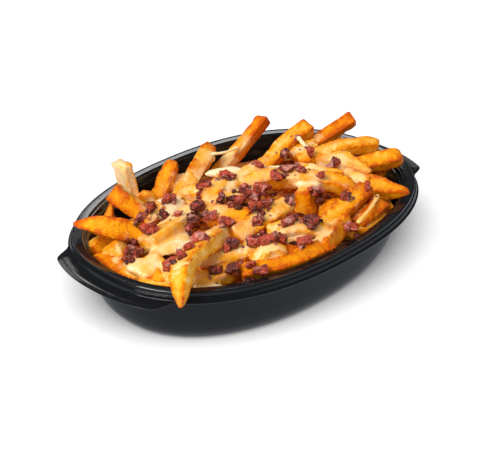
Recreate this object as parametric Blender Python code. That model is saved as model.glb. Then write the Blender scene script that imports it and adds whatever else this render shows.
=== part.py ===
"""Bacon topped fries in an oval plastic tray.

Metres, +Z up, tray standing on z = 0 with its long axis along X.
Sizes below are in millimetres and are turned to metres when a mesh is made.
"""

import itertools
import math
import random

import bmesh
import bpy
import numpy as np
from mathutils import Matrix, Vector
from mathutils.bvhtree import BVHTree

MM = 0.001
# Clear space left between solids that rest on one another.
GAP = 0.3

# Tray: half length and half width at the lip's outer edge, its height, and the powers of its two ovals.
LIP_A = 93.0
LIP_B = 64.2
LIP_POWER = 2.31
BASE_POWER = 2.12
HEIGHT = 35.0
WALL = 0.9
BASE_INSET = 17.0
# Bends of the wall's outside, from under the skirt to the flat base: inset from the lip and height.
WALL_BENDS = [(5.8, 29.4), (8.0, 13.0), (9.8, 7.2), (12.8, 3.0), (BASE_INSET, 0.6)]
FLANGE_WIDTH = 4.1
SKIRT_DROP = 4.4
TAB_REACH = 6.4
TAB_HALF_WIDTH = 32.2
TAB_CORNER = 8.0
TAB_DROOP = 0.3
TRAY_AROUND = 50

# Packed middle of the heap: its top in the middle, at the near edge and at the far edge, and where far is.
CORE_TOP = 38.5
CORE_NEAR = 28.0
CORE_FAR = 22.0
CORE_FAR_TURN = math.radians(45.0)
CORE_AROUND = 30

# The view in which the places of the food were read: pixels across and down, height in millimetres.
VIEW_TURN = math.radians(-46.4)
VIEW_LIFT = math.radians(29.2)
VIEW_DISTANCE = 668.0
VIEW_LENS = 1361.0
VIEW_CENTRE = (249.6, 231.8)
VIEW_TARGET = Vector((0.0, 0.0, 18.0))

LEVEL = math.cos(VIEW_LIFT)
BACK = Vector((math.sin(VIEW_TURN) * LEVEL, -math.cos(VIEW_TURN) * LEVEL, math.sin(VIEW_LIFT)))
RIGHT = Vector((math.cos(VIEW_TURN), math.sin(VIEW_TURN), 0.0))
UP = BACK.cross(RIGHT)
EYE = VIEW_TARGET + BACK * VIEW_DISTANCE

# Each fry: readings (across, down, height) along its middle line, width, thickness, roll and its two ends.
# An end is "cut", "round" or "point".
FRIES = [
    ([(135, 209, 25), (121.5, 163, 50)], 9.0, 5.5, 20, "cut", "cut"),
    ([(155, 221, 33), (112, 191, 45)], 9.0, 8.5, 25, "cut", "cut"),
    ([(110, 232, 24), (112, 204, 37)], 8.5, 7.0, 0, "cut", "point"),
    ([(144, 234, 37), (100, 226, 42), (75, 224, 41)], 11.5, 10.0, 35, "cut", "point"),
    ([(112, 240, 26), (91, 251, 29)], 9.0, 9.0, 30, "cut", "round"),
    ([(134, 245, 28), (112, 254, 32)], 9.5, 9.0, 40, "cut", "cut"),
    ([(100, 259, 27), (140, 283, 27)], 8.0, 8.0, 10, "cut", "cut"),
    ([(127, 267, 32), (167, 284, 31)], 7.5, 7.0, 20, "point", "cut"),
    ([(153, 208, 24), (172, 160, 42)], 8.5, 8.0, 15, "cut", "round"),
    ([(137, 207, 28), (146, 197, 34), (157, 208, 28)], 6.5, 6.0, 0, "cut", "cut"),
    ([(194, 213, 40), (148, 248, 36)], 10.5, 9.0, 15, "cut", "cut"),
    ([(160, 192, 27), (196, 181, 32)], 8.5, 8.0, 10, "cut", "cut"),
    ([(177, 203, 27), (210.5, 146, 42)], 8.5, 8.0, 25, "cut", "round"),
    ([(214, 177, 26), (243, 145, 40), (264, 119, 50)], 7.5, 7.0, 10, "cut", "cut"),
    ([(262, 170, 34), (281, 149, 40), (295, 137, 44), (309, 127, 47)], 8.5, 8.0, 20, "cut", "cut"),
    ([(292, 158, 33), (353, 118.5, 49)], 7.5, 6.0, 25, "cut", "cut"),
    ([(338, 172, 23), (339, 135, 38)], 7.5, 7.0, 0, "cut", "point"),
    ([(292, 158, 36), (317, 144, 41)], 7.5, 7.0, 30, "cut", "round"),
    ([(300, 164, 36), (345, 148, 43), (379, 145, 44)], 8.0, 7.5, 15, "cut", "round"),
    ([(345, 170, 36), (402, 156, 43)], 8.5, 7.5, 30, "cut", "round"),
    ([(322, 160, 39), (344, 162, 42), (370, 173, 40)], 10.0, 7.0, 10, "cut", "point"),
    ([(380, 169, 34), (375, 186, 24)], 7.0, 6.5, 0, "cut", "cut"),
    ([(357, 185, 33), (385, 190, 38), (409, 191.5, 39)], 11.0, 8.5, 20, "cut", "point"),
    ([(344, 174, 38), (369, 184, 38)], 7.0, 7.0, 30, "cut", "cut"),
    ([(294, 170, 44), (344, 173, 43)], 6.5, 6.0, 15, "cut", "point"),
    ([(243, 186, 43), (275, 178, 46), (318, 180, 45), (357, 191, 40)], 8.5, 8.0, 20, "cut", "round"),
    ([(226, 187, 43), (262, 169, 46)], 8.0, 7.5, 20, "cut", "cut"),
    ([(205, 206, 39), (224, 181, 44)], 8.0, 8.0, 10, "cut", "cut"),
    ([(180, 195, 34), (206, 194, 40)], 8.0, 7.5, 20, "round", "cut"),
    ([(307, 217, 31), (304, 189, 45)], 8.5, 8.0, 20, "cut", "cut"),
    ([(331, 218, 30), (330, 202, 40)], 12.0, 11.0, 15, "cut", "round"),
    ([(323, 232, 35), (366, 189, 44)], 9.0, 8.5, 20, "cut", "cut"),
    ([(357, 226, 33), (381, 204, 37)], 7.5, 7.0, 25, "cut", "cut"),
    ([(376, 198, 29), (394, 209, 30)], 7.0, 6.5, 0, "cut", "point"),
    ([(226, 231, 38), (208, 244, 44), (192, 257, 45), (183, 270, 44.5), (180.5, 288, 40), (181.5, 307, 30)],
     9.0, 8.5, 20, "cut", "point"),
    ([(198, 267, 34), (252, 251, 37)], 8.0, 7.0, 20, "cut", "cut"),
    ([(190, 283, 31), (232, 273, 32)], 7.5, 7.0, 10, "cut", "cut"),
    ([(240, 274, 33), (285, 264, 35), (331, 245, 35)], 7.5, 7.0, 25, "cut", "cut"),
    ([(345, 222, 37), (322, 247, 36)], 9.0, 8.5, 25, "cut", "cut"),
    ([(328, 233, 33), (362, 238, 32)], 8.0, 8.0, 30, "cut", "point"),
    ([(361, 236, 30), (386, 219, 30)], 7.0, 7.0, 0, "cut", "cut"),
    ([(268, 235, 39), (297, 228, 41), (328, 233, 38)], 8.0, 7.5, 30, "cut", "cut"),
    ([(258, 264, 34), (270, 253, 38), (286, 255, 36)], 8.0, 7.0, 10, "cut", "cut"),
    ([(270, 252, 36), (300, 257, 34)], 8.0, 7.0, 20, "cut", "cut"),
    ([(198, 213, 43), (249, 220, 44)], 9.5, 8.5, 25, "cut", "cut"),
    ([(235, 238, 40), (290, 204, 45)], 9.0, 8.5, 30, "cut", "cut"),
    ([(240, 257, 36), (265, 243, 39)], 8.0, 7.5, 20, "cut", "cut"),
    ([(145, 221, 34), (161, 208, 37)], 7.5, 7.0, 0, "cut", "cut"),
    ([(140, 284, 29), (187, 291, 30)], 7.0, 7.0, 15, "cut", "cut"),
    ([(149, 262, 33), (178, 284, 32)], 8.0, 8.0, 20, "cut", "cut"),
    ([(212, 206, 40), (264, 196, 42)], 8.5, 8.0, 10, "cut", "cut"),
    ([(280, 246, 35), (324, 252, 33)], 7.5, 7.0, 20, "cut", "cut"),
]

# Melted cheese, as lumps: reading of the middle, height, length, width, thickness and turn in the view.
CHEESE = [
    ((167, 205, 37), 26, 16, 7, 60),
    ((170, 243, 39), 30, 20, 7, 35),
    ((144, 263, 35), 20, 16, 8, 10),
    ((228, 169, 39), 28, 14, 8, 15),
    ((285, 168, 44), 30, 12, 7, 0),
    ((277, 209, 45), 18, 12, 7, 30),
    ((228, 187, 44), 10, 8, 6, 0),
    ((206, 157, 40), 15, 9, 9, 15),
    ((208, 288, 31), 22, 8, 6, 8),
    ((305, 181, 46), 14, 9, 5, 0),
    ((340, 160, 43), 14, 9, 6, -20),
]

# Strings of cheese: two readings with their heights, and the thickness.
STRINGS = [
    ((213, 150, 41), (238, 149, 41), 2.6),
    ((299, 138, 44.5), (311, 153, 42), 2.8),
    ((379, 196, 41), (356, 223, 37), 2.4),
]

# Bacon: reading of the middle across and down, length, width, thickness and turn.
BACON = [
    (169, 193, 8, 6, 4, 10), (153, 205, 7, 6, 4, 40), (165, 213, 8, 5, 4, -20), (141, 217, 6, 5, 4, 80),
    (150, 226, 8, 7, 5, 30), (137, 238, 9, 6, 5, 60), (131, 250, 7, 6, 5, 70), (208, 174, 7, 5, 4, 20),
    (227, 174, 8, 5, 4, -15), (203, 183, 8, 4, 4, 5), (198, 205, 8, 6, 4, 35), (195, 220, 8, 7, 5, -30),
    (211, 217, 8, 5, 4, 5), (225, 219, 7, 6, 4, 30), (179, 211, 5, 3, 3, 0), (239, 164, 6, 4, 3, 10),
    (259, 164, 7, 4, 4, -30), (276, 172, 7, 6, 4, 10), (287, 165, 7, 6, 4, 30),
    (298, 166, 7, 5, 4, -20), (285, 151, 7, 6, 4, 45), (299, 136, 6, 4, 3, 20), (310, 152, 6, 5, 5, 80),
    (331, 161, 8, 5, 4, 25), (320, 173, 6, 4, 3, 0), (266, 187, 10, 7, 6, 20), (236, 198, 8, 6, 4, 10),
    (224, 196, 6, 5, 4, 60), (248, 193, 8, 5, 4, -30), (254, 203, 9, 6, 5, 30), (265, 207, 8, 5, 4, 10),
    (242, 189, 7, 4, 4, 50), (290, 196, 7, 5, 5, 80), (318, 187, 8, 6, 5, 15), (346, 194, 7, 5, 4, -20),
    (367, 183, 6, 3, 4, 80), (350, 221, 8, 6, 4, 10), (288, 219, 8, 5, 5, 20), (310, 221, 9, 5, 5, 0),
    (256, 217, 7, 5, 4, 30), (253, 237, 7, 7, 5, 5), (268, 238, 8, 6, 5, 30), (281, 240, 7, 6, 5, -20),
    (231, 241, 8, 6, 5, 25), (200, 234, 9, 6, 4, 10), (190, 243, 6, 4, 4, 40), (169, 259, 9, 7, 6, 30),
    (179, 253, 6, 5, 4, 50), (305, 242, 8, 5, 4, 30), (236, 268, 8, 6, 5, 15), (219, 268, 7, 4, 4, 0),
    (250, 262, 5, 3, 3, 20), (259, 271, 8, 4, 4, 10),
]

# Corners of a fry's chamfered section, as shares of its half width and half thickness.
SECTION = [(1, 0.55), (0.55, 1), (-0.55, 1), (-1, 0.55), (-1, -0.55), (-0.55, -1), (0.55, -1), (1, -0.55)]
# Share of the full section at the first rings from each kind of end.
ENDS = {"cut": [0.94], "round": [0.55, 0.92], "point": [0.22, 0.62, 0.88]}
# Rings along a fry, by the number of its readings.
FRY_RINGS = {2: 5, 3: 6, 4: 7, 6: 9}

# Size of a bit's rings from its underside up: share of the plan and height as a share of its thickness.
BIT_RINGS = [(0.75, -0.5), (1.0, -0.1), (0.8, 0.45)]
BIT_AROUND = 6
# The same for a lump of cheese.
LUMP_RINGS = [(0.72, -0.42), (1.0, -0.05), (0.9, 0.22), (0.5, 0.44)]
LUMP_AROUND = 8

# How a bit of bacon looks for its place: shifts in the view, how far it lifts off, and how far it then drops.
TRY_ACROSS = range(-6, 7, 3)
TRY_DOWN = range(-4, 12, 3)
LIFT_STEP = 0.4
MOST_LIFTS = 10
DROP_STEP = 0.25
MOST_DROPS = 16

MATERIALS = {
    "black plastic": ((0.012, 0.012, 0.014, 1.0), 0.25),
    "fried potato": ((0.80, 0.42, 0.08, 1.0), 0.55),
    "bacon": ((0.30, 0.07, 0.06, 1.0), 0.45),
}


def seen(across, down, height):
    """The point at this height that shows at this place in the view."""
    ray = -BACK + RIGHT * ((across - VIEW_CENTRE[0]) / VIEW_LENS) - UP * ((down - VIEW_CENTRE[1]) / VIEW_LENS)
    return EYE + ray * ((height - EYE.z) / ray.z)


def material(name):
    colour, roughness = MATERIALS[name]
    made = bpy.data.materials.new(name)
    made.use_nodes = True
    shader = made.node_tree.nodes["Principled BSDF"]
    shader.inputs["Base Color"].default_value = colour
    shader.inputs["Roughness"].default_value = roughness
    return made


def mesh_object(name, points, faces, slot, collection=None):
    """An object from points in millimetres, with its faces turned outwards."""
    mesh = bpy.data.meshes.new(name)
    mesh.from_pydata([(p[0] * MM, p[1] * MM, p[2] * MM) for p in points], [], faces)
    shape = bmesh.new()
    shape.from_mesh(mesh)
    bmesh.ops.recalc_face_normals(shape, faces=shape.faces)
    bmesh.ops.triangulate(shape, faces=shape.faces)
    shape.to_mesh(mesh)
    shape.free()
    if slot is not None:
        mesh.materials.append(slot)
    made = bpy.data.objects.new(name, mesh)
    (collection or bpy.context.scene.collection).objects.link(made)
    return made


def lofted(rings, first, last):
    """Points and faces of a closed body through rings of equal count, with an end point at each end."""
    count = len(rings[0])
    points = [tuple(first)]
    for ring in rings:
        points.extend(tuple(p) for p in ring)
    points.append(tuple(last))
    faces = []
    for i in range(count):
        j = (i + 1) % count
        faces.append((0, 1 + j, 1 + i))
        for row in range(len(rings) - 1):
            low = 1 + row * count
            high = low + count
            faces.append((low + i, low + j, high + j, high + i))
        end = 1 + (len(rings) - 1) * count
        faces.append((end + i, end + j, len(points) - 1))
    return points, faces


def tab_share(y):
    """How much of the end tab stands out at this place along the end, from 0 to 1."""
    t = min(max((abs(y) - TAB_HALF_WIDTH) / TAB_CORNER + 0.62, 0.0), 1.0)
    return 1.0 - t * t * (3.0 - 2.0 * t)


def tray_profile(tab, hollow_rim=True):
    """(inset from the lip's edge, height) from the middle of the underside round to the middle of the floor."""
    h = HEIGHT
    reach = TAB_REACH * tab
    droop = TAB_DROOP * tab
    outside = [(BASE_INSET + 2.6, 0.0)] + WALL_BENDS[::-1]
    inside = [(inset + 0.9 * WALL, height + 0.7 * WALL) for inset, height in WALL_BENDS[1:]]
    under_rim = [(5.4, h - 1.3), (1.1, h - 1.3), (0.7, h - 2.8)]
    return outside + (under_rim if hollow_rim else []) + [
        (-0.3, h - SKIRT_DROP),
        (-1.6 - reach, h - SKIRT_DROP - 0.8 - droop),
        (-2.0 - reach, h - SKIRT_DROP - 0.1 - droop),
        (-1.7 - 0.55 * reach, h - SKIRT_DROP + 0.1 - droop),
        (-1.1, h - SKIRT_DROP + 0.5),
        (-0.7, h - 2.3),
        (-0.1, h - 2.0),
        (0.0, h - 0.4),
        (0.4, h),
        (FLANGE_WIDTH, h - 0.3),
        (FLANGE_WIDTH + 0.5, h - 1.0),
        (FLANGE_WIDTH + 1.5, h - 3.7),
        (FLANGE_WIDTH + 2.4, h - 4.1),
        (FLANGE_WIDTH + 2.6, h - 4.8),
    ] + inside + [(BASE_INSET + 3.6, WALL)]


def grown(profile, by):
    """The profile moved outwards by a small distance, along the normals of its bends."""
    path = [np.array(p) for p in profile]
    out = []
    for i, here in enumerate(path):
        before = path[max(i - 1, 0)]
        after = path[min(i + 1, len(path) - 1)]
        run = after - before
        run = run / np.linalg.norm(run)
        out.append((here[0] - by * run[1], here[1] + by * run[0]))
    return out


def tray_point(turn, inset, height):
    """A point on the tray's plan at this turn, blending the lip's outline into the rounder base."""
    share = min(max(inset / BASE_INSET, 0.0), 1.0)
    power = LIP_POWER + (BASE_POWER - LIP_POWER) * share
    c = math.cos(turn)
    s = math.sin(turn)
    x = (LIP_A - inset) * math.copysign(abs(c) ** (2.0 / power), c)
    y = (LIP_B - inset) * math.copysign(abs(s) ** (2.0 / power), s)
    return (x, y, height)


def tray_mesh(grow=0.0):
    """The tray or, grown, the room that the food leaves for it, without the channel under the rim."""
    columns = []
    for i in range(TRAY_AROUND):
        turn = 2.0 * math.pi * (i + 0.5) / TRAY_AROUND
        x, y, _ = tray_point(turn, 0.0, 0.0)
        tab = tab_share(y) if abs(x) > LIP_A / 2 else 0.0
        profile = grown(tray_profile(tab, hollow_rim=False), grow) if grow else tray_profile(tab)
        columns.append([tray_point(turn, inset, height) for inset, height in profile])
    rings = list(zip(*columns))
    low = rings[0][0][2]
    high = rings[-1][0][2]
    return lofted(rings, (0.0, 0.0, low), (0.0, 0.0, high))


def smooth_path(points, count):
    """Points evenly along a curve through the given ones."""
    if len(points) == 2:
        return [points[0].lerp(points[1], i / (count - 1)) for i in range(count)]
    ends = [points[0] * 2 - points[1]] + points + [points[-1] * 2 - points[-2]]
    fine = []
    for k in range(1, len(ends) - 2):
        a, b, c, d = ends[k - 1:k + 3]
        for i in range(12):
            t = i / 12
            fine.append(0.5 * (2 * b + (c - a) * t + (2 * a - 5 * b + 4 * c - d) * t * t
                               + (3 * b - a - 3 * c + d) * t ** 3))
    fine.append(points[-1].copy())
    lengths = [0.0]
    for a, b in zip(fine, fine[1:]):
        lengths.append(lengths[-1] + (b - a).length)
    out = []
    k = 0
    for i in range(count):
        want = lengths[-1] * i / (count - 1)
        while k < len(lengths) - 2 and lengths[k + 1] < want:
            k += 1
        share = (want - lengths[k]) / max(lengths[k + 1] - lengths[k], 1e-9)
        out.append(fine[k].lerp(fine[k + 1], min(share, 1.0)))
    return out


def end_scales(kind, count):
    return ENDS[kind] + [1.0] * (count - len(ENDS[kind]))


def fry_mesh(path, width, thick, roll, first_end, last_end, rng, rings):
    """A potato stick with a chamfered section, slightly uneven."""
    line = smooth_path(path, rings)
    first = end_scales(first_end, rings)
    last = end_scales(last_end, rings)[::-1]
    made = []
    for i, middle in enumerate(line):
        run = (line[min(i + 1, rings - 1)] - line[max(i - 1, 0)]).normalized()
        side = run.cross(Vector((0.0, 0.0, 1.0)))
        if side.length < 0.2:
            side = run.cross(Vector((0.0, 1.0, 0.0)))
        side.normalize()
        side = Matrix.Rotation(math.radians(roll), 3, run) @ side
        over = side.cross(run)
        size = min(first[i], last[i]) * rng.uniform(0.95, 1.04)
        ring = []
        for across, up in SECTION:
            wobble = rng.uniform(0.95, 1.05) * size
            ring.append(middle + side * (across * width / 2 * wobble) + over * (up * thick / 2 * wobble))
        made.append(ring)
    first_point = line[0] + (line[0] - line[1]).normalized() * 0.5
    last_point = line[-1] + (line[-1] - line[-2]).normalized() * 0.5
    return lofted(made, first_point, last_point)


def lump_mesh(middle, length, width, thick, turn, rng):
    """A flat lump, uneven at its edge."""
    along = Matrix.Rotation(math.radians(turn), 3, "Z") @ RIGHT
    upward = Vector((0.0, 0.0, thick))
    side = upward.cross(along).normalized()
    edge = [rng.uniform(0.82, 1.1) for _ in range(LUMP_AROUND)]
    rings = []
    for share, height in LUMP_RINGS:
        ring = []
        for i in range(LUMP_AROUND):
            angle = 2.0 * math.pi * i / LUMP_AROUND
            out = along * (math.cos(angle) * length / 2) + side * (math.sin(angle) * width / 2)
            ring.append(middle + out * (share * edge[i]) + upward * height)
        rings.append(ring)
    return lofted(rings, middle - upward / 2, middle + upward / 2)


def wall_inset(height):
    """How far the inside of the wall stands in from the lip at this height."""
    bends = sorted((z + 0.7 * WALL, inset + 0.9 * WALL) for inset, z in WALL_BENDS)
    return float(np.interp(height, [z for z, _ in bends], [inset for _, inset in bends]))


def core_mesh(rng):
    """The packed middle of the heap, lower and drawn in at the far side where the wall shows."""
    floor = WALL + 2.0 * GAP
    rings = []
    for part, share in (("floor", 1.0), ("side", 1.0), ("top", 1.0), ("top", 0.8), ("top", 0.56), ("top", 0.3)):
        ring = []
        for i in range(CORE_AROUND):
            turn = 2.0 * math.pi * (i + 0.5) / CORE_AROUND
            far = 0.5 + 0.5 * math.cos(turn - CORE_FAR_TURN)
            rim = CORE_NEAR + (CORE_FAR - CORE_NEAR) * far
            height = rim + (CORE_TOP - rim) * (1.0 - share ** 2.6) + rng.uniform(-1.0, 1.0)
            inset = wall_inset(rim) + 1.5 + 3.5 * far
            if part == "floor":
                height = floor
                inset = BASE_INSET + 4.5
            if part == "side":
                height = 7.0
                inset = wall_inset(height) + 2.0 + 3.0 * far
            x, y, _ = tray_point(turn, inset, 0.0)
            ring.append((x * share, y * share, height))
        rings.append(ring)
    return lofted(rings, (0.0, 0.0, floor), (0.0, 0.0, CORE_TOP))


def boolean(target, operation, cutter=None, collection=None):
    """Applies one Boolean to the target's mesh."""
    modifier = target.modifiers.new("join", "BOOLEAN")
    modifier.operation = operation
    modifier.solver = "EXACT"
    if collection is not None:
        modifier.operand_type = "COLLECTION"
        modifier.collection = collection
    else:
        modifier.object = cutter
    bpy.context.view_layer.update()
    graph = bpy.context.evaluated_depsgraph_get()
    made = bpy.data.meshes.new_from_object(target.evaluated_get(graph))
    target.modifiers.remove(modifier)
    old = target.data
    target.data = made
    bpy.data.meshes.remove(old)


def keep_largest(target):
    """Leaves the one outer body: sealed hollows and loose scraps go."""
    shape = bmesh.new()
    shape.from_mesh(target.data)
    bmesh.ops.triangulate(shape, faces=shape.faces)
    groups = []
    free = set(shape.faces)
    while free:
        stack = [free.pop()]
        group = []
        while stack:
            face = stack.pop()
            group.append(face)
            for edge in face.edges:
                if len(edge.link_faces) != 2:
                    continue
                for other in edge.link_faces:
                    if other in free:
                        free.remove(other)
                        stack.append(other)
        volume = sum(f.verts[0].co.dot(f.verts[1].co.cross(f.verts[2].co)) for f in group)
        groups.append((volume, group))
    groups.sort(key=lambda item: item[0])
    drop = [face for _, group in groups[:-1] for face in group]
    bmesh.ops.delete(shape, geom=drop, context="FACES")
    loose = [vert for vert in shape.verts if not vert.link_faces]
    bmesh.ops.delete(shape, geom=loose, context="VERTS")
    shape.to_mesh(target.data)
    shape.free()


def build_heap(slot):
    """One body: the core with the fries, cheese and strings joined on, cut back to leave room for the tray."""
    rng = random.Random(5)
    pieces = bpy.data.collections.new("heap pieces")
    bpy.context.scene.collection.children.link(pieces)
    for number, (readings, width, thick, roll, first_end, last_end) in enumerate(FRIES):
        path = [seen(*reading) for reading in readings]
        rings = FRY_RINGS[len(path)]
        points, faces = fry_mesh(path, width, thick, roll, first_end, last_end, rng, rings)
        mesh_object("fry %d" % number, points, faces, None, pieces)
    for number, (reading, length, width, thick, turn) in enumerate(CHEESE):
        points, faces = lump_mesh(seen(*reading), length, width, thick, turn, rng)
        mesh_object("cheese %d" % number, points, faces, None, pieces)
    for number, (first, last, thick) in enumerate(STRINGS):
        points, faces = fry_mesh([seen(*first), seen(*last)], thick, thick, 0, "cut", "cut", rng, 3)
        mesh_object("string %d" % number, points, faces, None, pieces)
    points, faces = core_mesh(rng)
    heap = mesh_object("fries", points, faces, slot)
    boolean(heap, "UNION", collection=pieces)
    points, faces = tray_mesh(GAP)
    cutter = mesh_object("tray room", points, faces, None)
    boolean(heap, "DIFFERENCE", cutter=cutter)
    keep_largest(heap)
    heap.data.materials.clear()
    heap.data.materials.append(slot)
    for piece in list(pieces.objects) + [cutter]:
        bpy.data.objects.remove(piece)
    bpy.data.collections.remove(pieces)
    return heap


def bit_shape(length, width, thick, rng):
    """Points and faces of one uneven bit of bacon, round its own middle."""
    rings = []
    for share, height in BIT_RINGS:
        ring = []
        for i in range(BIT_AROUND):
            angle = 2.0 * math.pi * (i + rng.uniform(-0.15, 0.15)) / BIT_AROUND
            reach = share * rng.uniform(0.85, 1.1)
            x = math.cos(angle) * length / 2 * reach
            y = math.sin(angle) * width / 2 * reach
            ring.append(Vector((x, y, height * thick * rng.uniform(0.85, 1.15))))
        rings.append(ring)
    return lofted(rings, (0.0, 0.0, -0.52 * thick), (0.0, 0.0, 0.5 * thick))


def tree_of(points, faces):
    return BVHTree.FromPolygons([tuple(p) for p in points], faces, epsilon=0.0)


def in_view(point):
    """Across and down at which a point shows in the view."""
    away = point - EYE
    lens = VIEW_LENS / -away.dot(BACK)
    return (VIEW_CENTRE[0] + lens * away.dot(RIGHT), VIEW_CENTRE[1] - lens * away.dot(UP))


def free_place(reading, points, faces, thick, turn, placed):
    """The bit's points where it rests on the surface, as near as it can to where it shows in the view."""
    wide_share = 1.0 + 2.2 * GAP / thick
    best = None
    for right, lower in itertools.product(TRY_ACROSS, TRY_DOWN):
        aim = seen(reading[0] + right, reading[1] + lower, 0.0) - EYE
        hit, normal, _, _ = placed[0].ray_cast(EYE, aim)
        if hit is None:
            continue
        lean = (normal + Vector((0.0, 0.0, 1.2))).normalized()
        spin = Vector((0.0, 0.0, 1.0)).rotation_difference(lean).to_matrix()
        spin = spin @ Matrix.Rotation(VIEW_TURN + math.radians(turn), 3, "Z")
        turned = [spin @ Vector(p) for p in points]

        def is_free(place):
            tree = tree_of([place + p * wide_share for p in turned], faces)
            return not any(tree.overlap(other) for other in placed)

        lifts = [hit + lean * (0.2 * thick + LIFT_STEP * i) for i in range(MOST_LIFTS)]
        middle = next((place for place in lifts if is_free(place)), None)
        if middle is None:
            continue
        for _ in range(MOST_DROPS):
            under = middle - Vector((0.0, 0.0, DROP_STEP))
            if not is_free(under):
                break
            middle = under
        shown = in_view(middle)
        distance = math.hypot(shown[0] - reading[0], shown[1] - reading[1])
        if best is None or distance < best[0]:
            best = (distance, [middle + p for p in turned])
    return best[1]


def build_bacon(heap, tray, slot):
    """Each bit of bacon is its own body, laid down in turn on the heap, clear of those before it."""
    rng = random.Random(11)
    placed = []
    for solid in (heap.data, tray.data):
        placed.append(tree_of([v.co / MM for v in solid.vertices], [tuple(p.vertices) for p in solid.polygons]))
    for number, (across, down, length, width, thick, turn) in enumerate(BACON):
        points, faces = bit_shape(length, width, thick, rng)
        final = free_place((across, down), points, faces, thick, turn, placed)
        placed.append(tree_of(final, faces))
        mesh_object("bacon_%02d" % (number + 1), final, faces, slot)


def main():
    for old in list(bpy.data.objects):
        bpy.data.objects.remove(old)
    plastic = material("black plastic")
    potato = material("fried potato")
    bacon = material("bacon")
    points, faces = tray_mesh()
    tray = mesh_object("tray", points, faces, plastic)
    heap = build_heap(potato)
    build_bacon(heap, tray, bacon)


main()
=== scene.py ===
"""Bacon topped fries in a black plastic tray: the looks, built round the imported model."""

import itertools
import math
import random

import bmesh
import bpy
import numpy as np
from bpy.props import FloatProperty, FloatVectorProperty, IntProperty, PointerProperty
from mathutils import Matrix, Vector, noise
from mathutils.bvhtree import BVHTree


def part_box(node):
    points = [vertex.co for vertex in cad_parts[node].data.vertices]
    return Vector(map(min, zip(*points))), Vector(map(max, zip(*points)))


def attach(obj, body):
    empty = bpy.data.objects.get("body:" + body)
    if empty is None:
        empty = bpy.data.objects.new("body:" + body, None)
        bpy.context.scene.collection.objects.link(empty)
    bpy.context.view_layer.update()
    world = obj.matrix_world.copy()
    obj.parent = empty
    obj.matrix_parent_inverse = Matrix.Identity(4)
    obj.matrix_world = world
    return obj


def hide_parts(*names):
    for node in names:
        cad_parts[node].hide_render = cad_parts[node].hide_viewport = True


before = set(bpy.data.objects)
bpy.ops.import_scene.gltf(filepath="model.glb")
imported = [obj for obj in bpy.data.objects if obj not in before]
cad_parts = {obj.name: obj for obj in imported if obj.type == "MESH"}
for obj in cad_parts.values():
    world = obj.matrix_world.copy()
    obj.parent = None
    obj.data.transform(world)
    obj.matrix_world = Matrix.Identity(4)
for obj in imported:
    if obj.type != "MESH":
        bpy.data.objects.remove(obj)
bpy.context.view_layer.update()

bl_info = {
    "name": "Bacon topped fries",
    "version": (1, 0, 0),
    "blender": (4, 5, 0),
    "location": "3D View > Sidebar > Fries",
    "description": "A tray of fries under melted cheese and bacon, with its studio",
    "category": "Object",
}

MM = 0.001
BODY = "root"
BACON_NODES = sorted(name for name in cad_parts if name.startswith("bacon_"))

# Camera: the turn and lift of the view, its distance, lens and centre, in degrees, millimetres and pixels.
VIEW_TURN = math.radians(-46.4)
VIEW_LIFT = math.radians(29.2)
VIEW_DISTANCE = 668.0
VIEW_WIDTH = 480
VIEW_HEIGHT = 451
VIEW_ANGLE = math.radians(20.0)
VIEW_LENS = VIEW_WIDTH / 2 / math.tan(VIEW_ANGLE / 2)
VIEW_CENTRE = (249.6, 231.8)
VIEW_TARGET = Vector((0.0, 0.0, 18.0))
LEVEL = math.cos(VIEW_LIFT)
BACK = Vector((math.sin(VIEW_TURN) * LEVEL, -math.cos(VIEW_TURN) * LEVEL, math.sin(VIEW_LIFT)))
RIGHT = Vector((math.cos(VIEW_TURN), math.sin(VIEW_TURN), 0.0))
UP = BACK.cross(RIGHT)
EYE = VIEW_TARGET + BACK * VIEW_DISTANCE

# Tray, in millimetres: half sizes at the lip, powers of its two ovals, the bends of its wall outside and
# inside, and the sizes of its lip, skirt and end tabs.
LIP_A = 93.0
LIP_B = 64.2
LIP_POWER = 2.31
BASE_POWER = 2.12
HEIGHT = 35.0
WALL = 0.9
BASE_INSET = 17.0
WALL_BENDS = [(5.8, 29.4), (8.0, 13.0), (9.8, 7.2), (12.8, 3.0), (BASE_INSET, 0.6)]
INNER_BENDS = [(inset + 0.9 * WALL, z + 0.7 * WALL) for inset, z in WALL_BENDS]
FLANGE_WIDTH = 4.1
SKIRT_DROP = 4.4
TAB_REACH = 6.4
TAB_HALF_WIDTH = 32.2
TAB_CORNER = 8.0
TAB_DROOP = 0.3

# Top of the imported middle of the heap: in the middle, at the near edge and at the far edge, the turn of that
# edge, and how far the dark surface between the fries, coloured as painted shade, lies below it.
CORE_TOP = 38.5
CORE_NEAR = 28.0
CORE_FAR = 22.0
CORE_FAR_TURN = math.radians(45.0)
CORE_SUNK = 8.0

# Form of a fry: for each kind of end its share of the full section right there, how much that gains, within
# how many millimetres and by what power; how far from an end its edge, slant and red reach; how square the
# section is; and how fine and how high the bumps on its sides are.
CURVE_STEPS = 12
END_FORMS = {
    "cut": (0.86, 0.14, 0.8, 0.5),
    "point": (0.18, 0.82, 15.0, 0.75),
    "round": (0.45, 0.55, 4.5, 0.5),
}
END_EDGE = 0.45
SLANT_REACH = 5.0
RED_REACH = 16.0
SQUARENESS = 10.0
FRY_BUMPS = ((0.12, 0.6), (0.42, 0.2), (1.1, 0.1))

# The fries below: their least gap to the wall, the steepest they lie, the places along each that are
# compared, the lengths tried for a short one, and for each layer of short ones how deep it lies and how many
# are tried.
WALL_GAP = 0.4
STEEPEST = 0.45
PLACES = 9
SHORT_LENGTHS = ((28, 52), (15, 26), (9, 13))
SHORT_LAYERS = ((4.5, 1200), (2.2, 90), (0.8, 90))

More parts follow.
